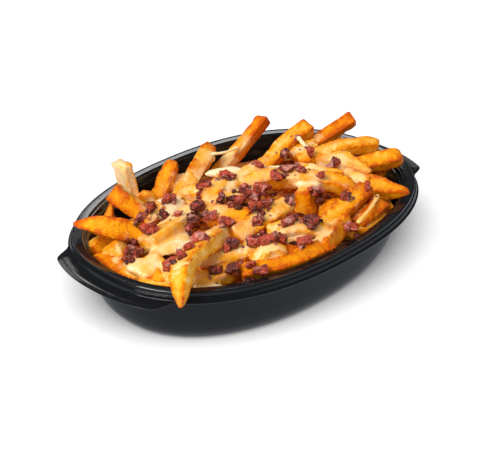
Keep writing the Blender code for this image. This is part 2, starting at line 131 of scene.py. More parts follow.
# Each fry: readings (across, down, height) in the view, width, thickness, roll, its two ends, how dark it is
# fried, how much cheese glazes it, and how red its last end is.
FRIES = [
    ([(135, 209, 25), (121.5, 163, 50)], 10.5, 5.5, 45, "cut", "cut", -0.5, 0.35, 0.3),
    ([(155, 221, 33), (112, 191, 45)], 9.0, 8.5, 25, "cut", "cut", 0.42, 0.0, 0.4),
    ([(110, 232, 24), (112, 204, 37)], 8.5, 7.0, 0, "cut", "point", 0.45, 0.0, 0.1),
    ([(144, 234, 37), (100, 226, 42), (75, 224, 41)], 11.5, 10.0, 35, "cut", "point", 0.65, 0.0, 1.4),
    ([(112, 240, 26), (91, 251, 29)], 9.0, 9.0, 30, "cut", "round", 0.35, 0.0, 0.2),
    ([(134, 245, 28), (112, 254, 32)], 9.5, 9.0, 40, "cut", "cut", 0.08, 0.2, 0.0),
    ([(100, 259, 27), (140, 283, 27)], 8.0, 8.0, 10, "cut", "cut", 0.85, 0.0, 0.2),
    ([(127, 267, 32), (167, 284, 31)], 7.5, 7.0, 20, "point", "cut", 0.70, 0.0, 0.0),
    ([(155, 208, 24), (173.5, 161, 42)], 7.6, 7.5, 15, "cut", "round", 0.42, 0.0, 0.5),
    ([(137, 207, 28), (146, 197, 34), (157, 208, 28)], 6.5, 6.0, 0, "cut", "cut", 0.40, 0.2, 0.0),
    ([(194, 213, 40), (148, 248, 36)], 10.5, 9.0, 15, "cut", "cut", 0.35, 0.8, 0.2),
    ([(160, 192, 27), (196, 181, 32)], 8.5, 8.0, 10, "cut", "cut", 0.20, 0.7, 0.0),
    ([(177, 203, 27), (210.5, 146, 42)], 8.5, 8.0, 25, "cut", "round", 0.55, 0.2, 0.3),
    ([(214, 177, 26), (243, 145, 40), (264, 119, 50)], 6.6, 6.2, 10, "cut", "cut", 0.60, 0.3, 1.2),
    ([(262, 170, 34), (281, 149, 40), (295, 137, 44), (309, 127, 47)],
     8.5, 8.0, 20, "cut", "cut", 0.38, 0.1, 0.4),
    ([(292, 158, 33), (353, 118.5, 49)], 7.0, 5.5, 25, "cut", "cut", 0.62, 0.0, 0.5),
    ([(338, 172, 23), (339, 135, 38)], 7.5, 7.0, 0, "cut", "point", 0.08, 0.3, 0.0),
    ([(292, 158, 36), (317, 144, 41)], 7.5, 7.0, 30, "cut", "round", 0.05, 0.1, 0.0),
    ([(300, 164, 36), (345, 148, 43), (379, 145, 44)], 8.0, 7.5, 15, "cut", "round", 0.20, 0.1, 0.3),
    ([(345, 170, 36), (402, 156, 43)], 8.5, 7.5, 30, "cut", "round", 0.62, 0.0, 0.5),
    ([(322, 160, 39), (344, 162, 42), (370, 173, 40)], 10.0, 7.0, 10, "cut", "point", 0.12, 0.4, 0.0),
    ([(380, 169, 34), (375, 186, 24)], 7.0, 6.5, 0, "cut", "cut", 0.40, 0.0, 0.0),
    ([(357, 185, 33), (385, 190, 38), (409, 191.5, 39)], 11.0, 8.5, 20, "cut", "point", 0.42, 0.0, 0.6),
    ([(344, 174, 38), (369, 184, 38)], 7.0, 7.0, 30, "cut", "cut", 0.22, 0.4, 0.0),
    ([(294, 170, 44), (344, 173, 43)], 6.5, 6.0, 15, "cut", "point", 0.30, 0.7, 0.9),
    ([(243, 186, 43), (275, 178, 46), (318, 180, 45), (357, 191, 40)],
     8.5, 8.0, 20, "cut", "round", 0.42, 0.4, 0.7),
    ([(226, 187, 43), (262, 169, 46)], 8.0, 7.5, 20, "cut", "cut", 0.30, 0.7, 0.0),
    ([(205, 206, 39), (224, 181, 44)], 8.0, 8.0, 10, "cut", "cut", 0.45, 0.3, 0.0),
    ([(180, 195, 34), (206, 194, 40)], 8.0, 7.5, 20, "round", "cut", 0.40, 0.2, 0.0),
    ([(307, 217, 31), (304, 189, 45)], 8.5, 8.0, 20, "cut", "cut", 0.40, 0.0, 0.2),
    ([(331, 218, 30), (330, 202, 40)], 12.0, 11.0, 15, "cut", "round", 0.52, 0.1, 0.1),
    ([(323, 232, 35), (366, 189, 44)], 9.0, 8.5, 20, "cut", "cut", 0.48, 0.1, 0.7),
    ([(357, 226, 33), (381, 204, 37)], 7.5, 7.0, 25, "cut", "cut", 0.62, 0.0, 0.3),
    ([(376, 198, 29), (394, 209, 30)], 7.0, 6.5, 0, "cut", "point", 0.60, 0.0, 0.4),
    ([(226, 231, 38), (208, 244, 44), (192, 257, 45), (183, 270, 44.5), (180.5, 288, 40), (181.5, 307, 30)],
     9.6, 7.6, 20, "cut", "point", 0.08, 0.05, 0.9),
    ([(198, 267, 34), (252, 251, 37)], 8.0, 7.0, 20, "cut", "cut", 0.35, 0.5, 0.0),
    ([(190, 283, 31), (232, 273, 32)], 7.5, 7.0, 10, "cut", "cut", 0.35, 0.3, 0.0),
    ([(240, 274, 33), (285, 264, 35), (331, 245, 35)], 7.5, 7.0, 25, "cut", "cut", 0.48, 0.0, 0.6),
    ([(345, 222, 37), (322, 247, 36)], 9.0, 8.5, 25, "cut", "cut", 0.65, 0.0, 0.3),
    ([(328, 233, 33), (362, 238, 32)], 8.0, 8.0, 30, "cut", "point", 0.40, 0.2, 0.1),
    ([(361, 236, 30), (386, 219, 30)], 7.0, 7.0, 0, "cut", "cut", 0.30, 0.2, 0.0),
    ([(268, 235, 39), (297, 228, 41), (328, 233, 38)], 8.0, 7.5, 30, "cut", "cut", 0.05, 0.4, 0.0),
    ([(258, 264, 35), (269, 252, 39.5), (285, 255, 37)], 8.0, 7.0, 10, "cut", "cut", 0.02, 0.3, 0.3),
    ([(270, 252, 36), (300, 257, 34)], 8.0, 7.0, 20, "cut", "cut", 0.75, 0.0, 0.4),
    ([(198, 213, 43), (249, 220, 44)], 9.5, 8.5, 25, "cut", "cut", 0.38, 0.4, 0.3),
    ([(235, 238, 40), (290, 204, 45)], 9.0, 8.5, 30, "cut", "cut", 0.45, 0.4, 0.0),
    ([(240, 257, 36), (265, 243, 39)], 8.0, 7.5, 20, "cut", "cut", 0.32, 0.5, 0.0),
    ([(145, 221, 34), (161, 208, 37)], 7.5, 7.0, 0, "cut", "cut", 0.38, 0.2, 0.0),
    ([(140, 284, 29), (187, 291, 30)], 7.0, 7.0, 15, "cut", "cut", 0.45, 0.1, 0.0),
    ([(149, 262, 33), (178, 284, 32)], 8.0, 8.0, 20, "cut", "cut", 0.32, 0.6, 0.0),
    ([(212, 206, 40), (264, 196, 42)], 8.5, 8.0, 10, "cut", "cut", 0.40, 0.5, 0.0),
    ([(280, 246, 35), (324, 252, 33)], 7.5, 7.0, 20, "cut", "cut", 0.50, 0.0, 0.0),
]
# The fry that hangs over the rim lies on top of the cheese: its place in the list above.
BARE_FRY = 34

# Melted cheese: reading of each patch's middle and height, its length, width and turn in the view, and how
# creamy it is.
CHEESE = [
    ((167, 205, 37), 24, 14, 60, 1.1),
    ((172, 238, 39), 30, 18, 35, 0.25),
    ((192, 241, 40), 16, 10, 20, 0.9),
    ((144, 263, 35), 20, 14, 10, 0.1),
    ((228, 169, 39), 30, 10, 15, 0.9),
    ((285, 168, 44), 36, 9, 0, 0.9),
    ((277, 209, 45), 18, 9, 30, 0.7),
    ((228, 187, 44), 9, 7, 0, 1.2),
    ((205, 158, 40), 9, 5, 15, 0.2),
    ((208, 288, 31), 18, 6, 8, 0.6),
    ((305, 181, 46), 12, 8, 0, 0.7),
    ((222, 258, 36), 22, 9, 15, 0.2),
    ((250, 203, 43), 16, 8, 15, 0.5),
    ((296, 231, 41), 14, 5, 0, 0.8),
    ((322, 228, 38), 7, 5, 40, 0.5),
    ((185, 187, 33), 14, 9, 20, 0.6),
]

# Thin cheese on single fries: reading of each patch's middle and height, its length, width and turn in the
# view, and how thick it is.
GLAZES = [
    ((182, 270, 45.5), 8, 2, 5, 1.0),
    ((262, 181, 49), 26, 5, 8, 1.1),
    ((296, 179, 49), 16, 5, 0, 1.1),
    ((262, 168, 48), 18, 6, 25, 1.0),
    ((240, 174, 45), 14, 6, 10, 1.0),
    ((300, 167, 46), 22, 5, -5, 1.1),
    ((338, 160, 44), 12, 7, -20, 1.0),
    ((316, 139, 42), 8, 3, 20, 0.6),
    ((352, 178, 41), 16, 5, -15, 0.9),
    ((322, 238, 39), 10, 5, 35, 0.9),
    ((288, 231, 42), 18, 5, 5, 1.0),
    ((212, 198, 44), 12, 6, 15, 0.8),
    ((160, 197, 36), 12, 7, 30, 0.8),
    ((241, 146, 43), 12, 6, 50, 0.9),
    ((205, 157, 43), 9, 8, 30, 0.6),
    ((298, 146, 46), 14, 4, 25, 0.6),
    ((330, 146, 46), 12, 5, 10, 0.5),
    ((126, 180, 46), 8, 22, 10, 0.8),
    ((228, 161, 34), 10, 7, 50, 1.0),
    ((117, 252, 35), 6, 6, 0, 0.9),
    ((268, 214, 46), 26, 6, 35, 0.8),
    ((203, 226, 43), 12, 7, 20, 0.9),
    ((270, 250, 41), 14, 4, 10, 0.9),
    ((366, 206, 44), 4, 16, 40, 0.4),
    ((232, 254, 38), 16, 6, 15, 0.8),
    ((230, 187, 46), 8, 5, 0, 1.2),
    ((228, 229, 46), 8, 4, 30, 0.8),
]

# Lumps of cheese under the patches: reading of each one's middle, its length, width, thickness and turn in
# the view. Each is lofted through rings of these shares of its outline at these shares of its thickness.
LUMPS = [
    ((167, 205, 37), 26, 16, 7, 60),
    ((170, 243, 38), 28, 17, 6, 35),
    ((144, 263, 35), 20, 16, 8, 10),
    ((228, 170, 38), 24, 11, 6, 15),
    ((285, 168, 43), 28, 9, 6, 0),
    ((277, 209, 45), 18, 12, 7, 30),
    ((228, 187, 44), 10, 8, 6, 0),
    ((204, 157, 40), 13, 7, 7, 15),
    ((208, 288, 31), 22, 8, 6, 8),
    ((305, 181, 46), 14, 9, 5, 0),
]
LUMP_FORM = ((0.6, -0.45), (0.9, -0.25), (1.0, 0.0), (0.88, 0.2), (0.6, 0.38), (0.3, 0.47))

# Strings of cheese: readings of three points on each, its thickness and how creamy it is.
STRINGS = [
    ((211, 154, 41.5), (224, 152.5, 41.2), (238, 147, 42), 2.1, 0.4),
    ((298, 137, 48.5), (302, 142, 47), (308, 149, 44.5), 2.6, 1.2),
    ((378, 195, 42), (370.5, 208, 41), (357.5, 223, 39), 2.4, 0.45),
]

# Crumbs of bacon between the bits, darkest of all as painted shade in the gaps: place in the view, and half
# width in millimetres.
CRUMBS = [
    (226, 204, 1.9), (231, 206, 2.1), (238, 208, 2.2), (245, 206, 2.2), (252, 209, 2.0), (258, 191, 1.8),
    (264, 194, 2.2), (272, 196, 1.9), (246, 196, 2.0), (249, 188, 1.9), (242, 193, 1.8), (229, 199, 1.8),
    (261, 212, 1.7), (269, 209, 1.6), (241, 203, 1.9), (257, 199, 1.9), (234, 192, 1.4),
    (196, 212, 1.7), (204, 214, 1.8), (196, 225, 1.8), (199, 221, 1.7), (190, 216, 1.8), (204, 223, 1.5),
    (187, 229, 1.8), (191, 236, 1.7), (199, 199, 1.4),
    (288, 215, 2.0), (295, 218, 2.1), (301, 215, 2.0), (301, 222, 1.9), (315, 222, 1.8), (320, 221, 1.5),
    (286, 197, 1.6), (318, 194, 1.9), (316, 199, 1.8), (328, 198, 1.5),
    (261, 234, 1.9), (258, 239, 1.9), (275, 236, 2.0), (298, 245, 2.0), (302, 248, 1.8), (294, 244, 1.6),
    (146, 213, 1.6), (136, 224, 1.7), (143, 229, 1.9), (129, 244, 1.9), (134, 242, 1.9), (129, 258, 1.9),
    (127, 264, 1.7), (131, 262, 1.7), (166, 258, 1.9), (173, 263, 1.8), (179, 251, 1.6), (219, 269, 1.6),
    (241, 262, 1.6), (246, 280, 1.9), (251, 280, 1.9), (232, 266, 1.5), (218, 180, 1.2), (284, 176, 1.4),
]
# A bit with a half length over LARGE_BIT has a knob and a small piece beside it. Bits that are nearer to each
# other than CROWD_REACH crowd, and crowded bits are coloured darker as painted shade. What has no food within
# FAR_DROP under it stays where it is.
LARGE_BIT = 3.4
CROWD_REACH = 11.0
FAR_DROP = 20.0

# Lights: name, place and sizes in metres, and power in watts.
LIGHTS = (
    ("left softbox", (-0.86, 0.0, 0.86), 0.62, 0.5, 13.8),
    ("back strip", (1.71, 1.83, 1.73), 1.06, 0.36, 4.9),
    ("left tab panel", (1.08, 2.21, 1.72), 0.3, 0.3, 0.45),
    ("right tab panel", (2.41, 1.50, 0.98), 0.4, 0.36, 0.24),
)


def seen(across, down, height):
    """The point at this height that shows at this place in the view."""
    ray = -BACK + RIGHT * ((across - VIEW_CENTRE[0]) / VIEW_LENS) - UP * ((down - VIEW_CENTRE[1]) / VIEW_LENS)
    return EYE + ray * ((height - EYE.z) / ray.z)


def tray_point(turn, inset, height):
    """A point on the tray's plan at this turn, blending the lip's outline into the rounder base."""
    share = min(max(inset / BASE_INSET, 0.0), 1.0)
    power = LIP_POWER + (BASE_POWER - LIP_POWER) * share
    c = math.cos(turn)
    s = math.sin(turn)
    x = (LIP_A - inset) * math.copysign(abs(c) ** (2.0 / power), c)
    y = (LIP_B - inset) * math.copysign(abs(s) ** (2.0 / power), s)
    return (x, y, height)


def wall_inset(height):
    """How far the inside of the wall stands in from the lip at this height."""
    bends = sorted((z, inset) for inset, z in INNER_BENDS)
    return float(np.interp(height, [z for z, _ in bends], [inset for _, inset in bends]))


def plan_share(x, y, inset):
    """Distance from the tray's middle as a share of the outline at this inset: 1 on the outline."""
    a = LIP_A - inset
    b = LIP_B - inset
    return (abs(x / a) ** LIP_POWER + abs(y / b) ** LIP_POWER) ** (1.0 / LIP_POWER)


def core_height(x, y):
    """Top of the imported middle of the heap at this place, or None beyond its edge."""
    turn = math.atan2(y / LIP_B, x / LIP_A)
    far = 0.5 + 0.5 * math.cos(turn - CORE_FAR_TURN)
    rim = CORE_NEAR + (CORE_FAR - CORE_NEAR) * far
    share = plan_share(x, y, wall_inset(rim) + 1.5 + 3.5 * far)
    if share > 1.0:
        return None
    return rim + (CORE_TOP - rim) * (1.0 - share ** 2.6)


def add_object(name, data):
    """An object with this data, linked into the scene."""
    made = bpy.data.objects.new(name, data)
    bpy.context.scene.collection.objects.link(made)
    return made


def mesh_object(name, points, faces):
    """A smooth object from points in millimetres, with its faces turned outwards."""
    mesh = bpy.data.meshes.new(name)
    mesh.from_pydata([(p[0] * MM, p[1] * MM, p[2] * MM) for p in points], [], faces)
    shape = bmesh.new()
    shape.from_mesh(mesh)
    bmesh.ops.recalc_face_normals(shape, faces=shape.faces)
    shape.to_mesh(mesh)
    shape.free()
    mesh.shade_smooth()
    return add_object(name, mesh)


def shape_of(mesh, unit=1.0):
    """The mesh's points, in this unit, and its faces."""
    return [v.co / unit for v in mesh.vertices], [tuple(p.vertices) for p in mesh.polygons]


def append_shape(points, faces, shape):
    """Adds the shape's points and faces to those gathered so far."""
    offset = len(points)
    points.extend(shape[0])
    faces.extend(tuple(offset + k for k in face) for face in shape[1])


def lofted(rings, first, last):
    """Points and faces of a closed body through rings of equal count, with an end point at each end."""
    count = len(rings[0])
    points = [tuple(first)]
    for ring in rings:
        points.extend(tuple(p) for p in ring)
    points.append(tuple(last))
    faces = []
    for i in range(count):
        j = (i + 1) % count
        faces.append((0, 1 + j, 1 + i))
        for row in range(len(rings) - 1):
            low = 1 + row * count
            high = low + count
            faces.append((low + i, low + j, high + j, high + i))
        end = 1 + (len(rings) - 1) * count
        faces.append((end + i, end + j, len(points) - 1))
    return points, faces


def set_layers(target, layers):
    """Stores each list of numbers, one for each point, as a layer that the materials read."""
    for label, values in layers.items():
        layer = target.data.attributes.new(label, "FLOAT", "POINT")
        layer.data.foreach_set("value", np.array(values, np.float32))


def evaluated_mesh(target):
    """The target's mesh with its modifiers applied, as a new mesh."""
    bpy.context.view_layer.update()
    graph = bpy.context.evaluated_depsgraph_get()
    return bpy.data.meshes.new_from_object(target.evaluated_get(graph))


def finish_piece(piece, material, nodes=()):
    """Dresses the piece and rides it on the tray's body, in place of its nodes."""
    if material:
        piece.data.materials.append(material)
    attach(piece, BODY)
    if nodes:
        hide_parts(*nodes)


def circle(count, start=0.5):
    """This many angles evenly round a circle, the first one at this share of a step."""
    return [2.0 * math.pi * (i + start) / count for i in range(count)]


def random_vector(rng, low, high):
    """Three random numbers, the one along X drawn first."""
    return Vector([rng.uniform(low, high) for _ in range(3)])


def distances_along(line):
    """How far along the line each of its points lies."""
    walked = [0.0]
    for a, b in zip(line, line[1:]):
        walked.append(walked[-1] + (b - a).length)
    return walked


def direction(line, i):
    """The way the line runs at its point i."""
    return (line[min(i + 1, len(line) - 1)] - line[max(i - 1, 0)]).normalized()


def smooth_path(points, count):
    """Points evenly along a curve through the given ones."""
    ends = [points[0] * 2 - points[1]] + points + [points[-1] * 2 - points[-2]]
    fine = []
    for k in range(1, len(ends) - 2):
        a, b, c, d = ends[k - 1:k + 3]
        for i in range(CURVE_STEPS):
            t = i / CURVE_STEPS
            fine.append(0.5 * (2 * b + (c - a) * t + (2 * a - 5 * b + 4 * c - d) * t * t
                               + (3 * b - a - 3 * c + d) * t ** 3))
    fine.append(points[-1].copy())
    lengths = distances_along(fine)
    out = []
    k = 0
    for i in range(count):
        want = lengths[-1] * i / (count - 1)
        while k < len(lengths) - 2 and lengths[k + 1] < want:
            k += 1
        share = (want - lengths[k]) / max(lengths[k + 1] - lengths[k], 1e-9)
        out.append(fine[k].lerp(fine[k + 1], min(share, 1.0)))
    return out


# Materials

def new_material(name):
    """A material that holds only its shader and output, with its node tree and the shader."""
    made = bpy.data.materials.new(name)
    made.use_nodes = True
    tree = made.node_tree
    tree.nodes.clear()
    shader = tree.nodes.new("ShaderNodeBsdfPrincipled")
    node(tree, "ShaderNodeOutputMaterial", Surface=shader.outputs["BSDF"])
    return made, tree, shader


def plug(made, **inputs):
    """Sets or links the node's inputs, given by name with underscores or as i and their number."""
    for name, value in inputs.items():
        socket = made.inputs[int(name[1:]) if name[1:].isdigit() else name.replace("_", " ")]
        if isinstance(value, bpy.types.NodeSocket):
            made.id_data.links.new(value, socket)
        elif value is not None:
            socket.default_value = value


def node(tree, kind, settings=None, **inputs):
    """A node with its properties, and its inputs set or linked."""
    made = tree.nodes.new(kind)
    for name, value in (settings or {}).items():
        setattr(made, name, value)
    plug(made, **inputs)
    return made


def math_node(tree, operation, a, b=None, c=None, clamp=False):
    settings = {"operation": operation, "use_clamp": clamp}
    return node(tree, "ShaderNodeMath", settings, i0=a, i1=b, i2=c).outputs[0]


def times(tree, a, b):
    return math_node(tree, "MULTIPLY", a, b)


def sway(tree, mask, amount, value):
    """The value, moved up and down by this amount as the mask lies above or below its middle."""
    return math_node(tree, "MULTIPLY_ADD", math_node(tree, "SUBTRACT", mask, 0.5), amount, value)


def mix_colour(tree, share, a, b, blend="MIX"):
    """The colours a and b, given as outputs or as red, green and blue, mixed by this share."""
    a, b = (c if isinstance(c, bpy.types.NodeSocket) else (*c, 1.0) for c in (a, b))
    settings = {"data_type": "RGBA", "blend_type": blend}
    return node(tree, "ShaderNodeMix", settings, i0=share, i6=a, i7=b).outputs[2]


def ramp(tree, value, low, high):
    """0 below low, 1 above high, smooth between."""
    settings = {"interpolation_type": "SMOOTHSTEP"}
    made = node(tree, "ShaderNodeMapRange", settings, Value=value, From_Min=low, From_Max=high)
    return made.outputs["Result"]


def attribute(tree, name):
    """The layer of this name, which set_layers stored."""
    return node(tree, "ShaderNodeAttribute", {"attribute_name": name}).outputs["Fac"]


def clouds(tree, place, scale, detail, rough=0.5):
    """Soft noise with this many waves to a metre."""
    made = node(tree, "ShaderNodeTexNoise", Vector=place, Scale=scale, Detail=detail, Roughness=rough)
    return made.outputs["Fac"]


def cooked_surface_group():
    """Masks and heights that all the cooked food shares: mottling, fine specks and a grain of two sizes."""
    name = "cooked surface"
    if name in bpy.data.node_groups:
        return bpy.data.node_groups[name]
    group = bpy.data.node_groups.new(name, "ShaderNodeTree")
    for label in ("Mottle Scale", "Speck Scale", "Speck Share", "Grain Scale"):
        group.interface.new_socket(label, in_out="INPUT", socket_type="NodeSocketFloat")
    for label in ("Patches", "Mottle", "Specks", "Grain"):
        group.interface.new_socket(label, in_out="OUTPUT", socket_type="NodeSocketFloat")
    given = group.nodes.new("NodeGroupInput").outputs
    place = node(group, "ShaderNodeTexCoord").outputs["Object"]
    speck = clouds(group, place, given["Speck Scale"], 1.0)
    limit = math_node(group, "SUBTRACT", 0.78, given["Speck Share"])
    grain = clouds(group, place, given["Grain Scale"], 4.0, 0.55)
    cells = node(group, "ShaderNodeTexVoronoi", Vector=place, Scale=given["Grain Scale"]).outputs["Distance"]
    plug(
        group.nodes.new("NodeGroupOutput"),
        Patches=clouds(group, place, times(group, given["Mottle Scale"], 0.3), 2.0),
        Mottle=clouds(group, place, given["Mottle Scale"], 3.0, 0.6),
        Specks=math_node(group, "MULTIPLY", math_node(group, "SUBTRACT", speck, limit), 9.0, clamp=True),
        Grain=math_node(group, "MULTIPLY_ADD", cells, -0.35, grain),
    )
    return group


def cooked_surface(tree, mottle, speck, share, grain):
    """The outputs of the shared group at these scales, in waves to a metre, with this share of specks."""
    sizes = {"Mottle_Scale": mottle, "Speck_Scale": speck, "Speck_Share": share, "Grain_Scale": grain}
    return node(tree, "ShaderNodeGroup", {"node_tree": cooked_surface_group()}, **sizes).outputs


def bumps(tree, height, distance, strength):
    """The normal of a surface with this relief."""
    return node(tree, "ShaderNodeBump", Height=height, Distance=distance, Strength=strength).outputs["Normal"]


def fried_material(look):
    """Fried potato: pale to red-orange as it is fried, darker at its edges, specked, glazed in places; dark
    brown painted shade on the packed middle.
    """
    made, tree, shader = new_material("fried potato")
    surface = cooked_surface(tree, 420.0, 1250.0, 0.26, 900.0)
    mottle = surface["Mottle"]
    patchy = surface["Patches"]
    edge = times(tree, attribute(tree, "edge"), ramp(tree, mottle, 0.3, 0.6))
    tone = sway(tree, mottle, 0.45, sway(tree, patchy, 1.2, attribute(tree, "dark")))
    tone = math_node(tree, "MULTIPLY_ADD", edge, 0.85, tone)
    colour = look.pale
    for low, high, darker in ((-0.15, 0.25, look.yellow), (0.15, 0.55, look.golden), (0.5, 0.95, look.dark),
                              (0.9, 1.35, look.crisp)):
        colour = mix_colour(tree, ramp(tree, tone, low, high), colour, darker)
    specks = times(tree, surface["Specks"], ramp(tree, patchy, 0.35, 0.65))
    colour = mix_colour(tree, times(tree, specks, 0.7), colour, look.speck)
    covered = sway(tree, patchy, 1.6, attribute(tree, "glaze"))
    covered = times(tree, ramp(tree, covered, 0.2, 0.9), 0.8)
    colour = mix_colour(tree, covered, colour, look.glaze)
    # painted shade: the packed middle, marked by the deep layer, turns mostly to the dark brown of shaded gaps
    colour = mix_colour(tree, times(tree, attribute(tree, "deep"), 0.75), colour, look.deep)
    rough = node(tree, "ShaderNodeMapRange", Value=covered, To_Min=0.42, To_Max=0.28).outputs["Result"]
    height = math_node(tree, "MULTIPLY_ADD", mottle, 0.4, surface["Grain"])
    plug(shader, Base_Color=colour, Roughness=rough, Normal=bumps(tree, height, 0.0006, 0.6),
         Specular_IOR_Level=0.3, Specular_Tint=(1.0, 0.6, 0.22, 1.0),
         Subsurface_Weight=0.06, Subsurface_Radius=(1.0, 0.4, 0.1), Subsurface_Scale=0.0015)
    return made


def cheese_material(look, fried):
    """Melted cheese: cream where it lies thick, yellow-orange where it thins over the fries."""
    made, tree, shader = new_material("melted cheese")
    surface = cooked_surface(tree, 330.0, 1100.0, 0.1, 380.0)
    mottle = surface["Mottle"]
    thick = attribute(tree, "thick")
    creamy = sway(tree, surface["Patches"], 1.9, times(tree, thick, attribute(tree, "cream")))
    creamy = sway(tree, mottle, 0.4, creamy)
    thin = ramp(tree, math_node(tree, "ADD", mottle, thick), 0.45, 0.9)
    colour = mix_colour(tree, thin, fried.golden, look.thin)
    colour = mix_colour(tree, ramp(tree, creamy, -0.05, 0.75), colour, look.thick)
    colour = mix_colour(tree, times(tree, surface["Specks"], 0.4), colour, look.speck)
    height = math_node(tree, "MULTIPLY_ADD", mottle, 1.5, surface["Grain"])
    plug(shader, Base_Color=colour, Roughness=0.2, Normal=bumps(tree, height, 0.0007, 0.45),
         Specular_IOR_Level=0.75, Specular_Tint=(1.0, 0.85, 0.6, 1.0),
         Subsurface_Weight=0.2, Subsurface_Radius=(1.0, 0.6, 0.25), Subsurface_Scale=0.003)
    return made


def bacon_material(look):
    """Fried bacon: red lean from bright to plum, pink fat on one side of a bit, browned edges and specks, and
    painted glints in the fat colour on its fine grain.
    """
    made, tree, shader = new_material("bacon")
    surface = cooked_surface(tree, 450.0, 1400.0, 0.2, 1000.0)
    mottle = surface["Mottle"]
    tone = sway(tree, surface["Patches"], 2.0, sway(tree, mottle, 2.9, attribute(tree, "dark")))
    colour = mix_colour(tree, ramp(tree, tone, 0.0, 0.55), look.red, look.lean)
    colour = mix_colour(tree, ramp(tree, tone, 0.45, 1.2), colour, look.burnt)
    fatty = ramp(tree, sway(tree, mottle, 1.2, attribute(tree, "fat")), 0.1, 0.6)
    colour = mix_colour(tree, times(tree, fatty, 0.75), colour, look.fat)
    browned = times(tree, attribute(tree, "edge"), ramp(tree, mottle, 0.4, 0.6))
    browned = math_node(tree, "MAXIMUM", browned, surface["Specks"])
    colour = mix_colour(tree, times(tree, browned, 0.4), colour, look.burnt)
    # painted highlight: small glints in the fat colour on the peaks of the fine grain
    painted_glints = times(tree, ramp(tree, surface["Grain"], 0.42, 0.56), 0.42)
    colour = mix_colour(tree, painted_glints, colour, look.fat)
    height = math_node(tree, "ADD", mottle, surface["Grain"])
    plug(shader, Base_Color=colour, Roughness=0.27, Normal=bumps(tree, height, 0.0009, 1.0),
         Specular_IOR_Level=0.62, Specular_Tint=(1.0, 0.78, 0.74, 1.0),
         Subsurface_Weight=0.05, Subsurface_Radius=(1.0, 0.3, 0.2), Subsurface_Scale=0.001)
    return made


def plastic_material(look):
    """Black thermoformed plastic, glossy, with a very fine unevenness."""
    made, tree, shader = new_material("black plastic")
    place = node(tree, "ShaderNodeTexCoord").outputs["Object"]
    fine = clouds(tree, place, 220.0, 3.0, 0.55)
    rough = node(tree, "ShaderNodeMapRange", Value=fine, To_Min=look.gloss - 0.05, To_Max=look.gloss + 0.08)
    plug(shader, Base_Color=mix_colour(tree, fine, look.black, [1.5 * c for c in look.black]),
         Roughness=rough.outputs["Result"], Specular_IOR_Level=0.5,
         Normal=bumps(tree, clouds(tree, place, 35.0, 1.0), 0.0006, 0.12))
    return made


# Tray

def tab_share(y):
    """How much of the end tab stands out at this place along the end, from 0 to 1."""
    t = min(max((abs(y) - TAB_HALF_WIDTH) / TAB_CORNER + 0.62, 0.0), 1.0)
    return 1.0 - t * t * (3.0 - 2.0 * t)


def tray_profile(tab):
    """(inset, height, rounding) from the middle of the underside round to the middle of the floor."""
    h = HEIGHT
    reach = TAB_REACH * tab
    droop = TAB_DROOP * tab
    outside = [(BASE_INSET + 2.6, 0.0, 0.8)] + [(x, z, 2.4) for x, z in WALL_BENDS[::-1]]
    inside = [(x, z, 2.4) for x, z in INNER_BENDS[1:]]
    return outside + [
        (5.4, h - 1.3, 0.3), (1.1, h - 1.3, 0.3), (0.7, h - 2.8, 0.2),
        (-0.3, h - SKIRT_DROP, 0.2),
        (-1.6 - reach, h - SKIRT_DROP - 0.8 - droop, 0.15),
        (-2.0 - reach, h - SKIRT_DROP - 0.1 - droop, 0.25),
        (-1.7 - 0.55 * reach, h - SKIRT_DROP + 0.1 - droop, 0.2),
        (-1.1, h - SKIRT_DROP + 0.5, 0.25),
        (-0.7, h - 2.3, 0.1),
        (-0.1, h - 2.0, 0.15),
        (0.0, h - 0.4, 0.2),
        (0.4, h, 0.2),
        (FLANGE_WIDTH, h - 0.3, 0.2),
        (FLANGE_WIDTH + 0.5, h - 1.0, 0.3),
        (FLANGE_WIDTH + 1.5, h - 3.7, 0.3),
        (FLANGE_WIDTH + 2.4, h - 4.1, 0.2),
        (FLANGE_WIDTH + 2.6, h - 4.8, 0.3),
    ] + inside + [(BASE_INSET + 3.6, WALL, 1.0)]


def rounded(profile, steps=4):
    """The profile with each bend rounded by a short curve."""
    out = [Vector(profile[0][:2])]
    for before, here, after in zip(profile, profile[1:], profile[2:]):
        middle = Vector(here[:2])
        to_before = Vector(before[:2]) - middle
        to_after = Vector(after[:2]) - middle
        reach = min(here[2], 0.45 * to_before.length, 0.45 * to_after.length)
        first = middle + to_before.normalized() * reach
        last = middle + to_after.normalized() * reach
        for i in range(steps + 1):
            t = i / steps
            out.append(first * (1 - t) ** 2 + middle * (2 * t * (1 - t)) + last * t * t)
    out.append(Vector(profile[-1][:2]))
    return out


def build_tray(sizes):
    """The tray's closed shell, lofted from its profile at each place round the outline."""
    columns = []
    for turn in circle(sizes.around):
        x, y, _ = tray_point(turn, 0.0, 0.0)
        profile = tray_profile(tab_share(y) if abs(x) > LIP_A / 2 else 0.0)
        columns.append([tray_point(turn, p.x, p.y) for p in rounded(profile)])
    shape = lofted(list(zip(*columns)), (0.0, 0.0, 0.0), (0.0, 0.0, WALL))
    return mesh_object("tray_moulding", *shape)


# Fries

def end_share(kind, distance):
    """Share of the full section at this distance from an end of the fry."""
    least, rise, reach, power = END_FORMS[kind]
    return min(1.0, least + rise * (distance / reach) ** power)


def ring_angle(k, around):
    """Angle of the ring's point k: evenly spaced, then drawn towards the four corners."""
    angle = 2.0 * math.pi * (k + 0.5) / around
    return angle - 0.2 * math.sin(4.0 * (angle - math.pi / 4))


